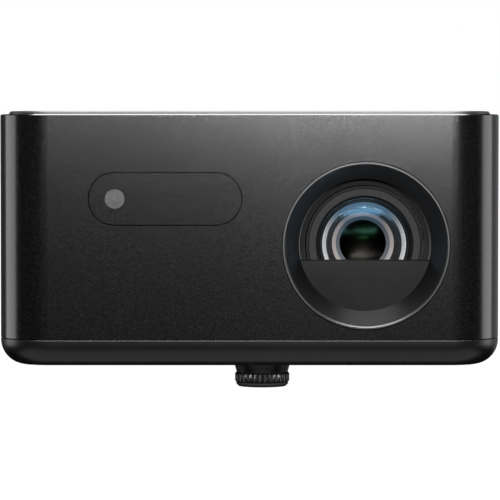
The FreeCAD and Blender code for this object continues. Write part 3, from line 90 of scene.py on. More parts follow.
# Where most of a noise's values lie
NOISE_LOW, NOISE_HIGH = 0.3, 0.7

# Tints of the coatings' reflections, each at its radius in millimetres
FRONT_COATING = ((0.0, (0.001, 0.004, 0.002)), (5.0, (0.001, 0.003, 0.002)), (7.4, (0.0015, 0.004, 0.003)),
                 (8.6, (0.02, 0.05, 0.07)), (11.0, (0.12, 0.32, 0.52)), (13.6, (0.30, 0.52, 0.70)))
SECOND_COATING = ((0.0, (0.001, 0.0045, 0.0012)), (4.0, (0.0006, 0.0015, 0.001)),
                  (7.75, (0.004, 0.003, 0.003)))
THIRD_COATING = ((0.0, (0.14, 0.13, 0.11)), (4.0, (0.03, 0.028, 0.025)), (7.75, (0.01, 0.009, 0.008)))

# Name, distance to the right, ahead of the case and over the table, width, depth and power
STRIP_LIGHTS = (("wide_strip", 0.0, 0.45, 0.16, 0.32, 0.02, 1.10),
                ("right_strip", 0.09, 0.45, 0.16, 0.16, 0.02, 0.80),
                ("near_strip", 0.06, 0.30, 0.14, 0.16, 0.015, 0.60))
SOFTBOX_DISTANCE = 1.2
SIDE_ELEVATION = 6.0
TABLE_RADIUS = 0.17
FLOOR_RADIUS = 6.0


# ---------------------------------------------------------------- settings

def colour(name, description, value):
    return FloatVectorProperty(name=name, description=description, default=value, subtype="COLOR",
                               size=len(value), min=0.0, max=1.0)


def length(name, description, value):
    return FloatProperty(name=name, description=description, default=value, unit="LENGTH", min=0.0)


def amount(name, description, value, lowest=0.0):
    return FloatProperty(name=name, description=description, default=value, min=lowest)


def power(name, description, value):
    return FloatProperty(name=name, description=description, default=value, unit="POWER")


def count(name, description, value, lowest, highest):
    return IntProperty(name=name, description=description, default=value, min=lowest, max=highest)


class CaseLooks(PropertyGroup):
    """Colours and grain of the parts that make up the outside of the case."""
    paint: colour("Paint", "Base colour of the textured sleeve", (0.002, 0.002, 0.0021))
    fleck: colour("Fleck", "Colour of the pale grains in the sleeve's paint", (0.014, 0.014, 0.0147))
    base: colour("Base", "Colour of the moulded base", (0.004, 0.004, 0.0042))
    cover: colour("Cover", "Colour of the top cover", (0.006, 0.006, 0.0063))
    mask: colour("Mask", "Colour of the half-moon mask", (0.003, 0.003, 0.0031))
    eye: colour("Eye", "Colour of the round camera cover", (0.035, 0.035, 0.037))
    grain: length("Grain", "Width of one grain of the sleeve's texture", 0.00034)
    paint_roughness: amount("Paint roughness", "Roughness of the sleeve's paint", 0.19)


class LensLooks(PropertyGroup):
    """Sizes and colours of the glass and of the rings that hold it."""
    rim_outer: length("Rim outer radius", "Outer radius of the front lens's ground rim", 0.01375)
    rim_inner: length("Rim inner radius", "Inner radius of the front lens's ground rim", 0.01250)
    cell_inner: length("Cell radius", "Smallest radius of the grooved cell behind the front lens", 0.01030)
    inner_rim: length("Inner rim radius", "Inner radius of the second lens's ground rim", 0.00900)
    inner_glass: length("Inner glass radius", "Clear radius of the second lens", 0.00775)
    rim_white: colour("Rim", "Colour of the ground rims", (0.95, 0.94, 0.94))
    # Upper rim: a painted blue reflection on the top of the rims, not a colour of the coating.
    rim_painted_blue: colour("Upper rim", "Colour that the coating gives the top of the rims", (0.11, 0.24, 0.38))
    cell_brown: colour("Cell", "Colour of the blackened cell", (0.030, 0.020, 0.014))
    groove_count: count("Grooves", "Light-trap grooves in the cell", 9, 2, 40)


class FootLooks(PropertyGroup):
    """Sizes of the adjustable foot's screw."""
    pitch: length("Pitch", "Pitch of the foot's thread", 0.003)
    thread_depth: length("Thread depth", "Height of the thread's ridge", 0.0004)
    flutes: count("Flutes", "Finger grooves round the wheel", 30, 8, 80)


class StudioSettings(PropertyGroup):
    """Light and camera of the studio."""
    distance: length("Camera distance", "Distance from the camera to the front of the case", 0.9)
    camera_height: length("Camera height", "Height of the camera over the table", 0.0779)
    aim_height: length("Aim height", "Height that the camera is aimed at", 0.0457)
    focal: amount("Focal length", "Focal length of the camera in millimetres", 200.9, 10.0)
    left: power("Left light", "Power of the left softbox", 6.4)
    right: power("Right light", "Power of the right softbox", 6.4)
    raised: power("Raised light", "Power of the raised softbox", 4.0)
    top: power("Top light", "Power of the overhead softbox", 62.0)


# ---------------------------------------------------------------- finishes

class Finish:
    """One material's nodes, with short ways to add the ones that the finishes share."""

    def __init__(self, name):
        self.material = bpy.data.materials.new(name)
        self.material.use_nodes = True
        self.tree = self.material.node_tree
        self.shader = self.tree.nodes["Principled BSDF"]
        self.place = self.add("ShaderNodeTexCoord").outputs["Object"]

    def add(self, kind, **settings):
        node = self.tree.nodes.new(kind)
        for key, value in settings.items():
            setattr(node, key, value)
        return node

    def link(self, source, target):
        self.tree.links.new(source, target)

    def set(self, values):
        """Fixed values on the shader's own sockets, by socket name."""
        for socket, value in values.items():
            self.shader.inputs[socket].default_value = value

    def stretched(self, scale):
        mapping = self.add("ShaderNodeMapping")
        mapping.inputs["Scale"].default_value = scale
        self.link(self.place, mapping.inputs["Vector"])
        return mapping.outputs["Vector"]

    def noise(self, scale, detail=2.0, roughness=0.5, place=None):
        node = self.add("ShaderNodeTexNoise")
        node.inputs["Scale"].default_value = scale
        node.inputs["Detail"].default_value = detail
        node.inputs["Roughness"].default_value = roughness
        self.link(place or self.place, node.inputs["Vector"])
        return node.outputs["Fac"]

    def cells(self, scale, **settings):
        node = self.add("ShaderNodeTexVoronoi", **settings)
        node.inputs["Scale"].default_value = scale
        self.link(self.place, node.inputs["Vector"])
        return node.outputs

    def ramp(self, value, *stops):
        node = self.add("ShaderNodeValToRGB")
        band = node.color_ramp
        while len(band.elements) < len(stops):
            band.elements.new(0.5)
        for element, (position, shade) in zip(band.elements, stops):
            element.position = position
            element.color = (*shade, 1.0)
        self.link(value, node.inputs["Fac"])
        return node.outputs["Color"]

    def steps(self, value, *stops):
        """A ramp of plain numbers."""
        return self.ramp(value, *[(position, (number,) * 3) for position, number in stops])

    def shades(self, noise, first, second):
        """Colours that follow a noise from one shade to another."""
        return self.ramp(noise, (NOISE_LOW, first), (NOISE_HIGH, second))

    def mix(self, factor, first, second):
        node = self.add("ShaderNodeMix", data_type="RGBA", blend_type="MIX")
        for index, source in ((0, factor), (6, first), (7, second)):
            if isinstance(source, NodeSocket):
                self.link(source, node.inputs[index])
            elif isinstance(source, (int, float)):
                node.inputs[index].default_value = source
            else:
                node.inputs[index].default_value = (*source, 1.0)
        return node.outputs[2]

    def maths(self, kind, first, second=0.0):
        node = self.add("ShaderNodeMath", operation=kind)
        for target, source in zip(node.inputs, (first, second)):
            if isinstance(source, NodeSocket):
                self.link(source, target)
            else:
                target.default_value = source
        return node.outputs[0]

    def axes(self):
        node = self.add("ShaderNodeSeparateXYZ")
        self.link(self.place, node.inputs[0])
        return node.outputs

    def radius(self, centre, pair="XZ"):
        """Distance from an axis through centre, in metres."""
        axes = self.axes()
        squares = []
        for axis, along in zip(pair, centre):
            gap = self.maths("SUBTRACT", axes[axis], along)
            squares.append(self.maths("MULTIPLY", gap, gap))
        return self.maths("SQRT", self.maths("ADD", *squares))

    def radius_share(self, centre, whole):
        """Distance from an axis, as a share of a whole radius."""
        return self.maths("DIVIDE", self.radius(centre), whole)

    def colour(self, source):
        self.link(source, self.shader.inputs["Base Color"])

    def roughness(self, source):
        self.link(source, self.shader.inputs["Roughness"])

    def gloss(self, noise, low, high):
        """Roughness that follows a noise from low to high."""
        self.roughness(self.steps(noise, (NOISE_LOW, low), (NOISE_HIGH, high)))

    def bump(self, height, depth):
        node = self.add("ShaderNodeBump")
        node.inputs["Distance"].default_value = depth
        self.link(height, node.inputs["Height"])
        self.link(node.outputs["Normal"], self.shader.inputs["Normal"])


def lighter(shade, factor):
    return tuple(min(1.0, part * factor) for part in shade)


def moulded(name, shade, roughness, grain=0.0004, depth=0.00002, spread=0.35, shine=0.5):
    """Moulded plastic: fine erosion grain, slow changes of shade and uneven gloss.
    A roughness of None leaves the gloss to the finish that asks for it."""
    finish = Finish(name)
    fine = finish.noise(1.0 / grain, 2.0, 0.6)
    slow = finish.noise(40.0, 3.0)
    grains = finish.shades(fine, lighter(shade, 1.0 - spread), lighter(shade, 1.0 + spread))
    clouds = finish.shades(slow, lighter(shade, 0.8), lighter(shade, 1.25))
    finish.colour(finish.mix(0.3, grains, clouds))
    if roughness is not None:
        finish.gloss(slow, roughness - 0.015, roughness + 0.015)
    finish.set({"Specular IOR Level": shine})
    finish.bump(fine, depth)
    return finish


def brushed(name, shade, roughness, stretch=(1.0, 40.0, 40.0), depth=0.000004):
    """Metal with drawn or ground lines along one axis."""
    finish = Finish(name)
    lines = finish.noise(600.0, 3.0, 0.6, finish.stretched(stretch))
    cloud = finish.noise(90.0, 2.0)
    drawn = finish.shades(lines, lighter(shade, 0.8), lighter(shade, 1.12))
    finish.colour(finish.mix(0.5, drawn, finish.shades(cloud, lighter(shade, 0.9), shade)))
    finish.set({"Metallic": 1.0})
    finish.gloss(lines, roughness - 0.06, roughness + 0.1)
    finish.bump(lines, depth)
    return finish


def turned_metal(name, shade, centre, pair, roughness=0.3):
    """Metal with fine lathe lines round an axis."""
    finish = Finish(name)
    wave = finish.maths("SINE", finish.maths("MULTIPLY", finish.radius(centre, pair), 20000.0))
    lines = finish.maths("MULTIPLY", finish.maths("ADD", wave, 1.0), 0.5)
    cloud = finish.noise(300.0, 2.0)
    finish.colour(finish.mix(cloud, lighter(shade, 0.85), lighter(shade, 1.1)))
    finish.set({"Metallic": 1.0})
    finish.gloss(cloud, roughness - 0.05, roughness + 0.08)
    finish.bump(lines, 0.000003)
    return finish


def sleeve_paint(looks, name="sleeve_paint", fleck=0.5):
    """Fine textured paint: packed grains, a few pale ones that sparkle."""
    finish = Finish(name)
    fine = finish.noise(1.0 / looks.grain, 1.0, 0.5)
    grains = finish.cells(1.25 / looks.grain)
    slow = finish.noise(12.0, 2.0)
    base = finish.ramp(fine, (0.35, lighter(looks.paint, 0.55)), (0.68, lighter(looks.paint, 1.7)))
    pick = finish.add("ShaderNodeSeparateColor")
    finish.link(grains["Color"], pick.inputs[0])
    pale = finish.steps(pick.outputs[0], (0.80, 0.0), (0.97, fleck))
    finish.colour(finish.mix(pale, base, tuple(looks.fleck)))
    gloss = finish.maths("MULTIPLY", pick.outputs[1], 0.05)
    spread = finish.maths("MULTIPLY", slow, 0.04)
    uneven = finish.maths("ADD", gloss, spread)
    finish.roughness(finish.maths("ADD", uneven, looks.paint_roughness - 0.045))
    height = finish.maths("ADD", fine, finish.maths("MULTIPLY", pick.outputs[2], 0.5))
    finish.bump(height, 0.000008)
    return finish


def flocked_bezel():
    """Satin cone round the lens, with black flock on its floor that swallows light."""
    finish = moulded("bezel_plastic", (0.0015, 0.0015, 0.0015), None, 0.0005, 0.000003, shine=0.6)
    share = finish.radius_share(LENS_AXIS, half_width(BEZEL))
    finish.roughness(finish.steps(share, (0.745, 1.0), (0.755, 0.33), (0.95, 0.38)))
    return finish


def eye_cover(looks):
    """Smoked cover: even grey, a paler pupil and a soft edge."""
    finish = Finish("smoked_cover")
    grey = tuple(looks.eye)
    rings = finish.ramp(finish.radius_share(EYE_AXIS, half_width(EYE)),
                        (0.0, lighter(grey, 2.1)), (0.10, lighter(grey, 1.9)), (0.20, lighter(grey, 0.95)),
                        (0.45, lighter(grey, 1.06)), (0.85, grey), (1.0, lighter(grey, 0.8)))
    finish.colour(finish.mix(finish.noise(900.0, 2.0), rings, lighter(grey, 0.9)))
    finish.gloss(finish.noise(300.0), 0.25, 0.32)
    return finish


def circuit_board():
    """Solder mask over copper tracks, with a fine weave of glass cloth."""
    finish = Finish("solder_mask")
    tracks = finish.cells(260.0, distance="CHEBYCHEV", feature="DISTANCE_TO_EDGE")
    line = finish.steps(tracks["Distance"], (0.04, 1.0), (0.07, 0.0))
    weave = finish.noise(2500.0, 1.0)
    mask = finish.shades(weave, (0.012, 0.060, 0.030), (0.020, 0.085, 0.045))
    finish.colour(finish.mix(line, mask, (0.045, 0.150, 0.075)))
    finish.gloss(weave, 0.28, 0.4)
    finish.bump(line, 0.00003)
    return finish


def fibre(name, shade, grain, roughness):
    """Foam, felt or pulp: long soft fibres and pores."""
    finish = Finish(name)
    pores = finish.noise(1.0 / grain, 4.0, 0.7)
    finish.colour(finish.shades(pores, lighter(shade, 0.5), lighter(shade, 1.5)))
    finish.gloss(pores, roughness, 1.0)
    finish.bump(pores, grain * 0.3)
    return finish


def clear_glass(name, tint, opacity, roughness=0.04):
    """Plain optical glass: mostly clear, with bright reflections."""
    finish = Finish(name)
    finish.colour(finish.mix(finish.noise(60.0), lighter(tint, 0.9), tint))
    finish.set({"IOR": 1.7, "Alpha": opacity})
    finish.gloss(finish.noise(200.0), roughness, roughness + 0.02)
    finish.material.surface_render_method = "BLENDED"
    return finish


def coated_glass(name, opacity, roughness, coating):
    """Coated lens surface: clear, with reflections whose tint follows the coating's thickness outwards."""
    finish = Finish(name)
    reach = coating[-1][0]
    share = finish.radius_share(LENS_AXIS, reach * MM)
    finish.colour(finish.ramp(share, *[(radius / reach, tint) for radius, tint in coating]))
    finish.set({"Metallic": 1.0, "Alpha": opacity})
    finish.gloss(finish.noise(200.0), roughness, roughness + 0.02)
    finish.material.surface_render_method = "BLENDED"
    return finish


def lathe_lines(finish, roughness, shine):
    """Gloss and relief of blasted metal with fine lathe lines about the lens axis. Returns its grain."""
    lines = finish.maths("SINE", finish.maths("MULTIPLY", finish.radius(LENS_AXIS), 9000.0))
    grain = finish.noise(3000.0, 2.0, 0.6)
    finish.gloss(grain, roughness - 0.05, roughness + 0.08)
    finish.bump(finish.maths("ADD", finish.maths("MULTIPLY", lines, 0.3), grain), 0.000012)
    finish.set({"Specular IOR Level": shine})
    return grain


def anodised(name, shade, roughness, speck, shine):
    """Black anodised barrel parts, with a grain whose shade varies by the factor speck."""
    finish = Finish(name)
    grain = lathe_lines(finish, roughness, shine)
    finish.colour(finish.shades(grain, lighter(shade, 1.0 / speck), lighter(shade, speck)))
    return finish


def outside_finishes(case):
    """Finishes of the parts that are seen from outside, by material slot."""
    return {
        "black_texture": sleeve_paint(case),
        "window_black": sleeve_paint(case, "window_paint", 0.35),
        "window_grey": eye_cover(case),
        "black_satin": moulded("cover_plastic", tuple(case.cover), 0.42, 0.0004, 0.000005),
        "base_black": moulded("base_plastic", tuple(case.base), 0.34, 0.0005, 0.000005, shine=0.42),
        "grille_black": moulded("grille_plastic", (0.020, 0.020, 0.021), 0.5),
        "panel_black": moulded("panel_plastic", (0.020, 0.020, 0.021), 0.48),
        "bezel_black": flocked_bezel(),
        "mask_grey": moulded("mask_plastic", tuple(case.mask), 0.24, 0.00034, 0.000006, 0.5, 0.32),
        "button_black": moulded("button_plastic", (0.018, 0.018, 0.019), 0.3, 0.0006, 0.000006),
        "foot_black": moulded("foot_plastic", (0.006, 0.006, 0.0063), 0.4, 0.0004, 0.000014),
        "foot_rubber": fibre("foot_rubber", (0.018, 0.018, 0.018), 0.0005, 0.7),
        "foam_black": fibre("foam", (0.020, 0.020, 0.020), 0.0006, 0.9),
        "light_pipe": moulded("light_pipe", (0.70, 0.74, 0.78), 0.35, 0.0008, 0.000006, 0.05),
    }


def inside_finishes():
    """Finishes of the parts inside the case and of the sockets, by material slot."""
    return {
        "zinc_steel": brushed("zinc_steel", (0.52, 0.53, 0.54), 0.34),
        "steel": brushed("ground_steel", (0.60, 0.60, 0.61), 0.22),
        "sensor_black": moulded("sensor_plastic", (0.02, 0.02, 0.02), 0.3, 0.0005, 0.000008),
        "board_green": circuit_board(),
        "barrel_black": anodised("anodised_barrel", (0.005, 0.005, 0.0052), 0.42, 1.25, 0.08),
        "gear_nylon": moulded("nylon", (0.62, 0.59, 0.51), 0.45, 0.0006, 0.00001, 0.06),
        "brass": turned_metal("turned_brass", (0.74, 0.55, 0.25), FOOT_AXIS, "XY"),
        "cast_alloy": brushed("cast_alloy", (0.44, 0.45, 0.46), 0.5, (1.0, 1.0, 1.0), 0.00003),
        "clear_glass": clear_glass("prism_glass", (0.8, 0.9, 0.92), 0.3),
        "coated_glass": clear_glass("rear_glass", (0.10, 0.30, 0.20), 0.25),
        "dichroic_glass": clear_glass("dichroic_glass", (0.75, 0.30, 0.65), 0.5),
        "chip_ceramic": moulded("chip_ceramic", (0.28, 0.26, 0.30), 0.35, 0.0005, 0.00001, 0.15),
        "source_metal": brushed("nickel_plate", (0.56, 0.52, 0.44), 0.28, (40.0, 1.0, 1.0)),
        "copper": brushed("copper", (0.72, 0.36, 0.22), 0.28, (1.0, 40.0, 1.0)),
        "aluminium_fins": brushed("fin_aluminium", (0.74, 0.75, 0.77), 0.3, (40.0, 1.0, 1.0)),
        "fan_black": moulded("fan_plastic", (0.028, 0.028, 0.028), 0.42, 0.0005),
        "chip_black": moulded("chip_plastic", (0.026, 0.026, 0.028), 0.5, 0.0003, 0.00001),
        "socket_metal": brushed("socket_shell", (0.62, 0.62, 0.63), 0.25, (40.0, 1.0, 40.0)),
        "speaker_steel": moulded("speaker_enamel", (0.030, 0.030, 0.032), 0.35, 0.0008, 0.00001),
        "speaker_paper": fibre("speaker_pulp", (0.045, 0.045, 0.045), 0.0009, 0.75),
    }


# ---------------------------------------------------------------- mesh helpers

def new_piece(name, mesh_maker, finish, body=None, smooth=35.0):
    """Make an object from a bmesh, shade it, and let it ride on a body if one is named."""
    grid = bmesh.new()
    mesh_maker(grid)
    bmesh.ops.remove_doubles(grid, verts=grid.verts, dist=1e-7)
    bmesh.ops.recalc_face_normals(grid, faces=grid.faces)
    mesh = bpy.data.meshes.new(name)
    grid.to_mesh(mesh)
    grid.free()
    mesh.shade_smooth()
    mesh.set_sharp_from_angle(angle=math.radians(smooth))
    mesh.materials.append(finish.material)
    piece = bpy.data.objects.new(name, mesh)
    bpy.context.scene.collection.objects.link(piece)
    if body:
        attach(piece, body)
    return piece


def turn(grid, outline, place, segments, shape=None):
    """Turn a closed outline of (radius, distance) points; place gives the position of each point."""
    rings = []
    for i in range(segments):
        angle = 2 * math.pi * i / segments
        ring = []
        for radius, distance in outline:
            if shape:
                radius = shape(radius, distance, angle)
            ring.append(grid.verts.new(place(radius, distance, angle)))
        rings.append(ring)
    for i in range(segments):
        here, there = rings[i], rings[(i + 1) % segments]
        for k in range(len(outline)):
            j = (k + 1) % len(outline)
            if outline[k][0] > 0 or outline[j][0] > 0:
                corners = [here[k], here[j], there[j], there[k]]
                if outline[k][0] == 0:
                    corners.remove(there[k])
                if outline[j][0] == 0:
                    corners.remove(there[j])
                grid.faces.new(corners)


def about_lens(radius, depth, angle):
    """Point round the lens axis, at a depth behind the barrel's front."""
    return (LENS_AXIS[0] + radius * math.cos(angle), LENS_FRONT + depth,
            LENS_AXIS[1] + radius * math.sin(angle))


def about_foot(radius, height, angle):
    """Point round the foot's axis, at a height over the table."""
    return (FOOT_AXIS[0] + radius * math.cos(angle), FOOT_AXIS[1] + radius * math.sin(angle), height)


def lens_ring(name, outline, finish, smooth=30.0):
    """Turn a part about the lens axis; it slides with the focusing group."""
    def make(grid):
        turn(grid, outline, about_lens, LENS_SEGMENTS)
    return new_piece(name, make, finish, "focus_cell", smooth)


def dome(clear, edge_depth, curve):
    """Points of a lens surface from its edge to its middle; a positive curve bulges to the front."""
    side = math.copysign(1.0, curve)
    ball = abs(curve)
    drop = ball - math.sqrt(ball * ball - clear * clear)
    points = []
    for i in range(DOME_ROWS + 1):
        radius = clear * (1 - i / DOME_ROWS)
        sag = ball - math.sqrt(ball * ball - radius * radius)
        points.append((radius, edge_depth - side * (drop - sag)))
    return points


def lens_glass(name, clear, front, rear, finish):
    """Turn a lens from the edge depth and curve of its front and of its rear surface."""
    outline = dome(clear, *front) + dome(clear, *rear)[::-1]
    return lens_ring(name, outline, finish, 60.0)


# ---------------------------------------------------------------- operators

class FinishCase(Operator):
    """Give every part that the frame brings its own finish"""
    bl_idname = "projector.finish_case"
    bl_label = "Finish the frame's parts"

    def execute(self, context):
        finishes = {**outside_finishes(context.scene.projector_case), **inside_finishes()}
        slots = {row["node"]: row["material_slot"] for row in frame["record"]["subparts"]}
        for node, thing in NODES.items():
            thing.data.materials.clear()
            thing.data.materials.append(finishes[slots[node]].material)
        return {"FINISHED"}


class TurnRetainer(Operator):
    """Turn the grained ring that holds the front lens, with its two light-trap steps"""
    bl_idname = "projector.turn_retainer"
    bl_label = "Retaining ring"

    def execute(self, context):
        lens = context.scene.projector_lens
        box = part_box("lens_retaining_ring")
        front = box[0].y - LENS_FRONT
        rear = box[1].y - LENS_FRONT
        outer = half_width(box) - 0.05 * MM
        mouth = outer - 2.3 * MM
        edge = 0.12 * MM
        ledge = 0.16 * MM
        outline = [(outer, front + edge), (outer - edge, front), (mouth + edge, front), (mouth, front + edge)]
        for share in (0.25, 0.62):
            radius = mouth + (lens.rim_outer - mouth) * share
            depth = front + (rear - front) * share
            outline += [(radius, depth), (radius - ledge, depth), (radius - ledge, depth + ledge)]
        outline += [(lens.rim_outer, rear - edge), (lens.rim_outer, rear), (outer, rear)]
        ring = lens_ring("retaining_ring", outline, grained_ring())
        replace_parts(ring, "lens_retaining_ring")
        return {"FINISHED"}


def grained_ring():
    """Blasted grey land round the mouth, black light-trap steps inside it with a bright turned line."""
    finish = Finish("grained_ring")
    lathe_lines(finish, 0.5, 0.08)
    black, grey, white = (0.0,) * 3, (0.5,) * 3, (1.0,) * 3
    grain = finish.noise(3500.0, 2.0, 0.6)
    land = finish.shades(grain, (0.008, 0.008, 0.008), (0.040, 0.040, 0.041))
    dark = finish.mix(grain, (0.002, 0.002, 0.002), (0.004, 0.004, 0.004))
    pale = finish.ramp(finish.radius_share(LENS_AXIS, 20.0 * MM),
                       (0.700, black), (0.722, grey), (0.730, black), (0.785, black),
                       (0.798, white), (0.925, white), (0.930, black))
    finish.colour(finish.mix(pale, dark, land))
    return finish


def rim_finish(name, white, painted_top_reflection, warm_painted_reflection):
    """Ground rim, pale at the sides; its top carries a painted reflection, a band of one shade under a tinted
    crown that is brightest at the very top.
    """
    finish = Finish(name)
    above = finish.maths("SUBTRACT", finish.axes()["Z"], LENS_AXIS[1])
    up = finish.maths("DIVIDE", above, finish.radius(LENS_AXIS))
    share = finish.maths("MULTIPLY", finish.maths("ADD", up, 1.0), 0.5)
    # Painted reflection: above the axis the pale rim turns to the band colour, then to the top colour,
    # brightest at the very top.
    tint = finish.ramp(share, (0.0, white), (0.62, lighter(white, 0.9)), (0.78, warm_painted_reflection), (0.9, painted_top_reflection),
                       (1.0, lighter(painted_top_reflection, 1.3)))
    lines = finish.noise(1200.0, 2.0, 0.6, finish.stretched((1.0, 8.0, 1.0)))
    finish.colour(finish.mix(finish.steps(lines, (0.3, 0.0), (0.8, 0.25)), tint, lighter(white, 0.5)))
    finish.gloss(lines, 0.28, 0.45)
    return finish


class GrindFrontLens(Operator):
    """Grind the front lens: a coated dome over its pale ground rim"""
    bl_idname = "projector.grind_front_lens"
    bl_label = "Front lens"

    def execute(self, context):
        lens = context.scene.projector_lens
        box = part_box("front_element")
        radius = half_width(box)
        edge = box[1].y - LENS_FRONT - 2.8 * MM
        lip = edge - 0.2 * MM
        seat = edge + 0.1 * MM
        land = edge + 1.0 * MM
        rear = edge + 2.6 * MM
        rim = [(lens.rim_outer, lip), (lens.rim_inner, land), (lens.rim_inner, rear), (radius, rear),
               (radius, seat), (lens.rim_outer, seat)]
        # The front rim's top gets a painted blue reflection over a grey band.
        look = rim_finish("ground_rim", tuple(lens.rim_white), tuple(lens.rim_painted_blue), (0.42, 0.44, 0.46))
        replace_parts(lens_ring("front_lens_rim", rim, look), "front_element")
        glass = coated_glass("front_coating", 0.16, 0.14, FRONT_COATING)
        lens_glass("front_lens", 13.6 * MM, (edge - 0.25 * MM, 32.3 * MM), (edge - 0.05 * MM, 33.0 * MM),
                   glass)
        return {"FINISHED"}


class TurnCell(Operator):
    """Turn the grooved, blackened cell between the front lens and the second lens"""
    bl_idname = "projector.turn_cell"
    bl_label = "Grooved cell"

    def execute(self, context):
        lens = context.scene.projector_lens
        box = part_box("cell_ring")
        outer = half_width(box)
        front = box[0].y - LENS_FRONT
        rear = box[1].y - LENS_FRONT + 1.5 * MM
        mouth = lens.rim_inner
        lip = 0.08 * MM
        groove = 0.25 * MM
        outline = [(outer, rear), (outer, front), (mouth, front)]
        for i in range(lens.groove_count):
            share = (i + 1) / lens.groove_count
            radius = mouth + (lens.cell_inner - mouth) * share
            depth = front + (rear - front) * share - groove
            outline += [(radius + lip, depth), (radius, depth)]
        outline.append((lens.cell_inner, rear))
        finish = anodised("blackened_cell", tuple(lens.cell_brown), 0.4, 1.3, 0.15)
        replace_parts(lens_ring("cell_grooves", outline, finish), "cell_ring")
        return {"FINISHED"}


def iris_finish():
    """Blackened plate behind the lenses: cool and dark in the middle, with a painted warm reflection at both
    sides.
    """
    finish = Finish("iris_plate")
    clear = 7.75 * MM
    across = finish.maths("ABSOLUTE", finish.maths("SUBTRACT", finish.axes()["X"], LENS_AXIS[0]))
    # Painted reflection: reddish-brown arcs at both sides, set by distance across from the axis; the plate
    # itself stays dark.
    warm_painted_reflection = finish.ramp(finish.maths("DIVIDE", across, clear),
                       (0.0, (0.002, 0.004, 0.004)), (0.5, (0.004, 0.004, 0.003)),
                       (0.78, (0.040, 0.016, 0.009)), (0.92, (0.30, 0.12, 0.06)), (1.0, (0.34, 0.14, 0.07)))
    share = finish.radius_share(LENS_AXIS, clear)
    ring = finish.steps(share, (0.48, 0.0), (0.52, 0.4), (0.56, 0.0))
    finish.colour(finish.mix(ring, warm_painted_reflection, (0.012, 0.018, 0.016)))
    finish.gloss(finish.noise(900.0), 0.4, 0.55)
    return finish


class GrindSecondLens(Operator):
    """Grind the second lens: pale rim, cool collar, two coated lenses and the iris behind them"""
    bl_idname = "projector.grind_second_lens"
    bl_label = "Second lens"

    def execute(self, context):
        lens = context.scene.projector_lens
        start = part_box("second_element")[0].y - LENS_FRONT + 3.3 * MM
        bore = 11.7 * MM
        mouth = 10.15 * MM
        land = start + 0.9 * MM
        rim_rear = start + 1.6 * MM
        rim = [(bore, start), (mouth, start), (lens.inner_rim, land), (lens.inner_rim, rim_rear),
               (bore, rim_rear)]
        # The second rim's top gets a painted cool reflection over a warm band.
        look = rim_finish("second_rim", (0.74, 0.68, 0.66), (0.34, 0.36, 0.40), (0.60, 0.52, 0.50))
        lens_ring("second_lens_rim", rim, look)
        collar_front = start + 1.5 * MM
        collar_rear = start + 2.4 * MM
        collar = [(lens.inner_rim, land), (lens.inner_glass, collar_front), (lens.inner_glass, collar_rear),
                  (lens.inner_rim, collar_rear)]
        # The collar's top gets a painted blue reflection over a grey band too.
        look = rim_finish("cool_collar", (0.20, 0.22, 0.25), (0.06, 0.10, 0.15), (0.14, 0.15, 0.18))
        lens_ring("second_lens_collar", collar, look)
        green = coated_glass("second_coating", 0.2, 0.16, SECOND_COATING)
        second = lens_glass("second_lens", lens.inner_glass, (start + 1.9 * MM, 14.0 * MM),
                            (start + 2.1 * MM, 14.4 * MM), green)
        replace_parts(second, "second_element")
        grey = coated_glass("third_coating", 0.25, 0.18, THIRD_COATING)
        lens_glass("third_lens", lens.inner_glass, (start + 4.4 * MM, -30.0 * MM),
                   (start + 4.6 * MM, -29.6 * MM), grey)
        iris_front = start + 9.0 * MM
        iris_rear = start + 9.6 * MM
        plate = [(0.0, iris_front), (bore, iris_front), (bore, iris_rear), (0.0, iris_rear)]
        lens_ring("iris_plate", plate, iris_finish())
        return {"FINISHED"}


class CutFootScrew(Operator):
    """Cut the adjustable foot: a fluted wheel on a threaded shaft"""
    bl_idname = "projector.cut_foot_screw"
    bl_label = "Foot screw"

    def execute(self, context):
        foot = context.scene.projector_foot
        wheel = half_width(FOOT)
        shaft = 3.0 * MM
        edge = 0.45 * MM
        flute_depth = 0.42 * MM
        pivot = 1.56 * MM
        neck = 0.2 * MM
        bottom = FOOT[0].z
        top = FOOT[1].z
        pivot_top = bottom + 1.75 * MM
        wheel_top = bottom + 3.25 * MM
        thread_start = wheel_top + neck

        def shape(radius, height, angle):
            if radius > wheel - 2 * edge:
                wave = 0.5 - 0.5 * math.cos(foot.flutes * angle)
                return radius - flute_depth * wave ** 2
            if height > wheel_top + neck / 2 and abs(radius - shaft) < MM:
                turn_share = (height / foot.pitch - angle / (2 * math.pi)) % 1.0
                return shaft - foot.thread_depth * min(1.0, abs(turn_share - 0.5) * 4.0)
            return radius

        outline = [(0.0, pivot_top), (pivot, pivot_top), (pivot, bottom), (wheel - edge, bottom),
                   (wheel, bottom + edge), (wheel, wheel_top - edge), (wheel - edge, wheel_top),
                   (shaft - foot.thread_depth, wheel_top)]
        for i in range(THREAD_ROWS + 1):
            outline.append((shaft, thread_start + (top - thread_start) * i / THREAD_ROWS))
        outline.append((0.0, top))

        def make(grid):
            turn(grid, outline, about_foot, foot.flutes * 10, shape)

        finish = moulded("foot_wheel", (0.006, 0.006, 0.0063), 0.34, 0.0004, 0.000008)
        piece = new_piece("foot_wheel", make, finish, "foot_screw", 40.0)
        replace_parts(piece, "foot_screw")
        return {"FINISHED"}


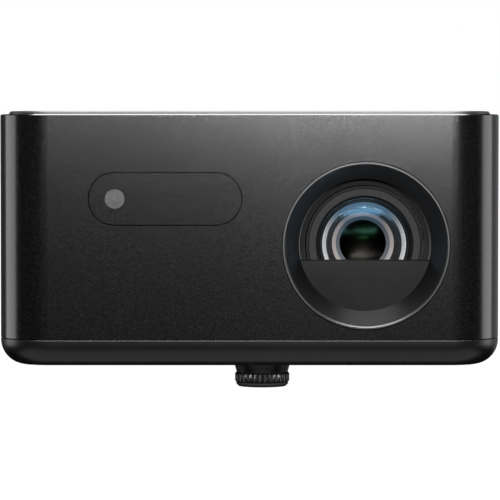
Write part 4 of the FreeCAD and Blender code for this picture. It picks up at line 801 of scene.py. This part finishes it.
def softbox(name, azimuth, elevation, distance, width, height, watts):
    """Area light that stands off from the middle of the case's front in a direction, and faces it."""
    light = bpy.data.lights.new(name, "AREA")
    light.shape = "RECTANGLE"
    light.size = width
    light.size_y = height
    light.energy = watts
    lamp = bpy.data.objects.new(name, light)
    side = math.radians(azimuth)
    lift = math.radians(elevation)
    away = Vector((math.sin(side) * math.cos(lift), -math.cos(side) * math.cos(lift), math.sin(lift)))
    lamp.location = CASE_MIDDLE + away * distance
    lamp.rotation_euler = away.to_track_quat("Z", "Y").to_euler()
    lamp.visible_camera = False
    bpy.context.scene.collection.objects.link(lamp)


def strip_light(name, right, ahead, height, width, depth, watts):
    """Narrow softbox placed by its distance ahead of the case and its height over the table."""
    away = Vector((right, -ahead, height - CASE_MIDDLE.z))
    azimuth = math.degrees(math.atan2(right, ahead))
    elevation = math.degrees(math.atan2(away.z, math.hypot(away.x, away.y)))
    softbox(name, azimuth, elevation, away.length, width, depth, watts)


def pale_floor(glow):
    """White paper, lit evenly from within so that it stays pale under the soft lights."""
    finish = Finish("pale_floor")
    slow = finish.noise(3.0, 2.0)
    finish.colour(finish.shades(slow, (0.02, 0.02, 0.02), (0.03, 0.03, 0.03)))
    finish.set({"Emission Color": (1.0, 1.0, 1.0, 1.0), "Emission Strength": glow, "Specular IOR Level": 0.0})
    finish.gloss(slow, 0.9, 1.0)
    return finish


def flat_ring(inner, outer, segments=64):
    """Mesh maker of a flat ring on the table."""
    def make(grid):
        rows = []
        for radius in (inner, outer):
            angles = [2 * math.pi * i / segments for i in range(segments)]
            rows.append([grid.verts.new((radius * math.cos(a), radius * math.sin(a), 0.0)) for a in angles])
        for i in range(segments):
            j = (i + 1) % segments
            grid.faces.new([rows[0][i], rows[1][i], rows[1][j], rows[0][j]])
    return make


class BuildStudio(Operator):
    """Lay the pale table, set the soft lights and place the camera"""
    bl_idname = "projector.build_studio"
    bl_label = "Studio"

    def execute(self, context):
        scene = context.scene
        studio = scene.projector_studio
        scene.view_settings.view_transform = "Standard"
        self.lay_floor()
        self.light_world(scene)
        for strip in STRIP_LIGHTS:
            strip_light(*strip)
        softboxes = (("left_softbox", -102.0, SIDE_ELEVATION, 0.74, 1.0, studio.left),
                     ("right_softbox", 98.0, SIDE_ELEVATION, 0.66, 1.0, studio.right),
                     ("rear_left_softbox", -145.0, SIDE_ELEVATION, 0.9, 1.0, 0.03 * studio.left),
                     ("rear_right_softbox", 140.0, SIDE_ELEVATION, 0.9, 1.0, 0.15 * studio.right),
                     ("raised_softbox", 0.0, 44.0, 1.0, 0.4, studio.raised),
                     ("top_softbox", 0.0, 80.0, 1.0, 1.0, studio.top))
        for name, azimuth, elevation, width, height, watts in softboxes:
            softbox(name, azimuth, elevation, SOFTBOX_DISTANCE, width, height, watts)
        self.place_camera(scene, studio)
        return {"FINISHED"}

    def lay_floor(self):
        """Table under the projector and floor around it, both left out of reflections."""
        table = new_piece("table_top", flat_ring(0.1 * MM, TABLE_RADIUS), pale_floor(1.0))
        floor = new_piece("studio_floor", flat_ring(TABLE_RADIUS, FLOOR_RADIUS), pale_floor(1.0))
        for thing in (table, floor):
            thing.visible_diffuse = False
            thing.visible_glossy = False
        self.lay_card()

    def lay_card(self):
        """White card on the table ahead of the case, seen only as a reflection in the rounded base."""
        side = 90.0 * MM
        rear = SLEEVE[0].y + 7.0 * MM
        front = rear - 20.0 * MM
        height = 0.2 * MM

        def make(grid):
            corners = [(-side, front), (side, front), (side, rear), (-side, rear)]
            grid.faces.new([grid.verts.new((x, y, height)) for x, y in corners])

        card = new_piece("front_card", make, pale_floor(0.5))
        card.visible_camera = False
        card.visible_diffuse = False
        return card

    def light_world(self, scene):
        """White all round for the camera, and only a faint glow for the object itself."""
        world = bpy.data.worlds.new("studio_white")
        world.use_nodes = True
        tree = world.node_tree
        shade = tree.nodes["Background"]
        path = tree.nodes.new("ShaderNodeLightPath")
        level = tree.nodes.new("ShaderNodeMapRange")
        level.inputs["To Min"].default_value = 0.01
        level.inputs["To Max"].default_value = 1.0
        tree.links.new(path.outputs["Is Camera Ray"], level.inputs["Value"])
        tree.links.new(level.outputs["Result"], shade.inputs["Strength"])
        shade.inputs["Color"].default_value = (1.0, 1.0, 1.0, 1.0)
        scene.world = world

    def place_camera(self, scene, studio):
        """Camera ahead of the case, a hair to the right of its middle, aimed slightly down."""
        right = 0.16 * MM
        data = bpy.data.cameras.new("studio_camera")
        data.lens = studio.focal
        data.sensor_width = 36.0
        data.clip_start = 0.01
        camera = bpy.data.objects.new("studio_camera", data)
        camera.location = (right, SLEEVE[0].y - studio.distance, studio.camera_height)
        aim = Vector((right, SLEEVE[0].y, studio.aim_height)) - camera.location
        camera.rotation_euler = aim.to_track_quat("-Z", "Y").to_euler()
        scene.collection.objects.link(camera)
        scene.camera = camera


class ProjectorPanel(Panel):
    """Steps that finish the projector"""
    bl_idname = "VIEW3D_PT_projector"
    bl_label = "Projector"
    bl_space_type = "VIEW_3D"
    bl_region_type = "UI"
    bl_category = "Projector"

    def draw(self, context):
        for step in STEPS:
            self.layout.operator(step.bl_idname)


SETTINGS = {"projector_case": CaseLooks, "projector_lens": LensLooks, "projector_foot": FootLooks,
            "projector_studio": StudioSettings}
STEPS = (FinishCase, TurnRetainer, GrindFrontLens, TurnCell, GrindSecondLens, CutFootScrew, BuildStudio)


def register():
    for name, group in SETTINGS.items():
        bpy.utils.register_class(group)
        setattr(bpy.types.Scene, name, PointerProperty(type=group))
    for step in STEPS:
        bpy.utils.register_class(step)
    bpy.utils.register_class(ProjectorPanel)


def unregister():
    bpy.utils.unregister_class(ProjectorPanel)
    for step in reversed(STEPS):
        bpy.utils.unregister_class(step)
    for name, group in SETTINGS.items():
        delattr(bpy.types.Scene, name)
        bpy.utils.unregister_class(group)


def main():
    register()
    bpy.ops.projector.finish_case()
    bpy.ops.projector.turn_retainer()
    bpy.ops.projector.grind_front_lens()
    bpy.ops.projector.turn_cell()
    bpy.ops.projector.grind_second_lens()
    bpy.ops.projector.cut_foot_screw()
    bpy.ops.projector.build_studio()


if __name__ == "__main__":
    main()
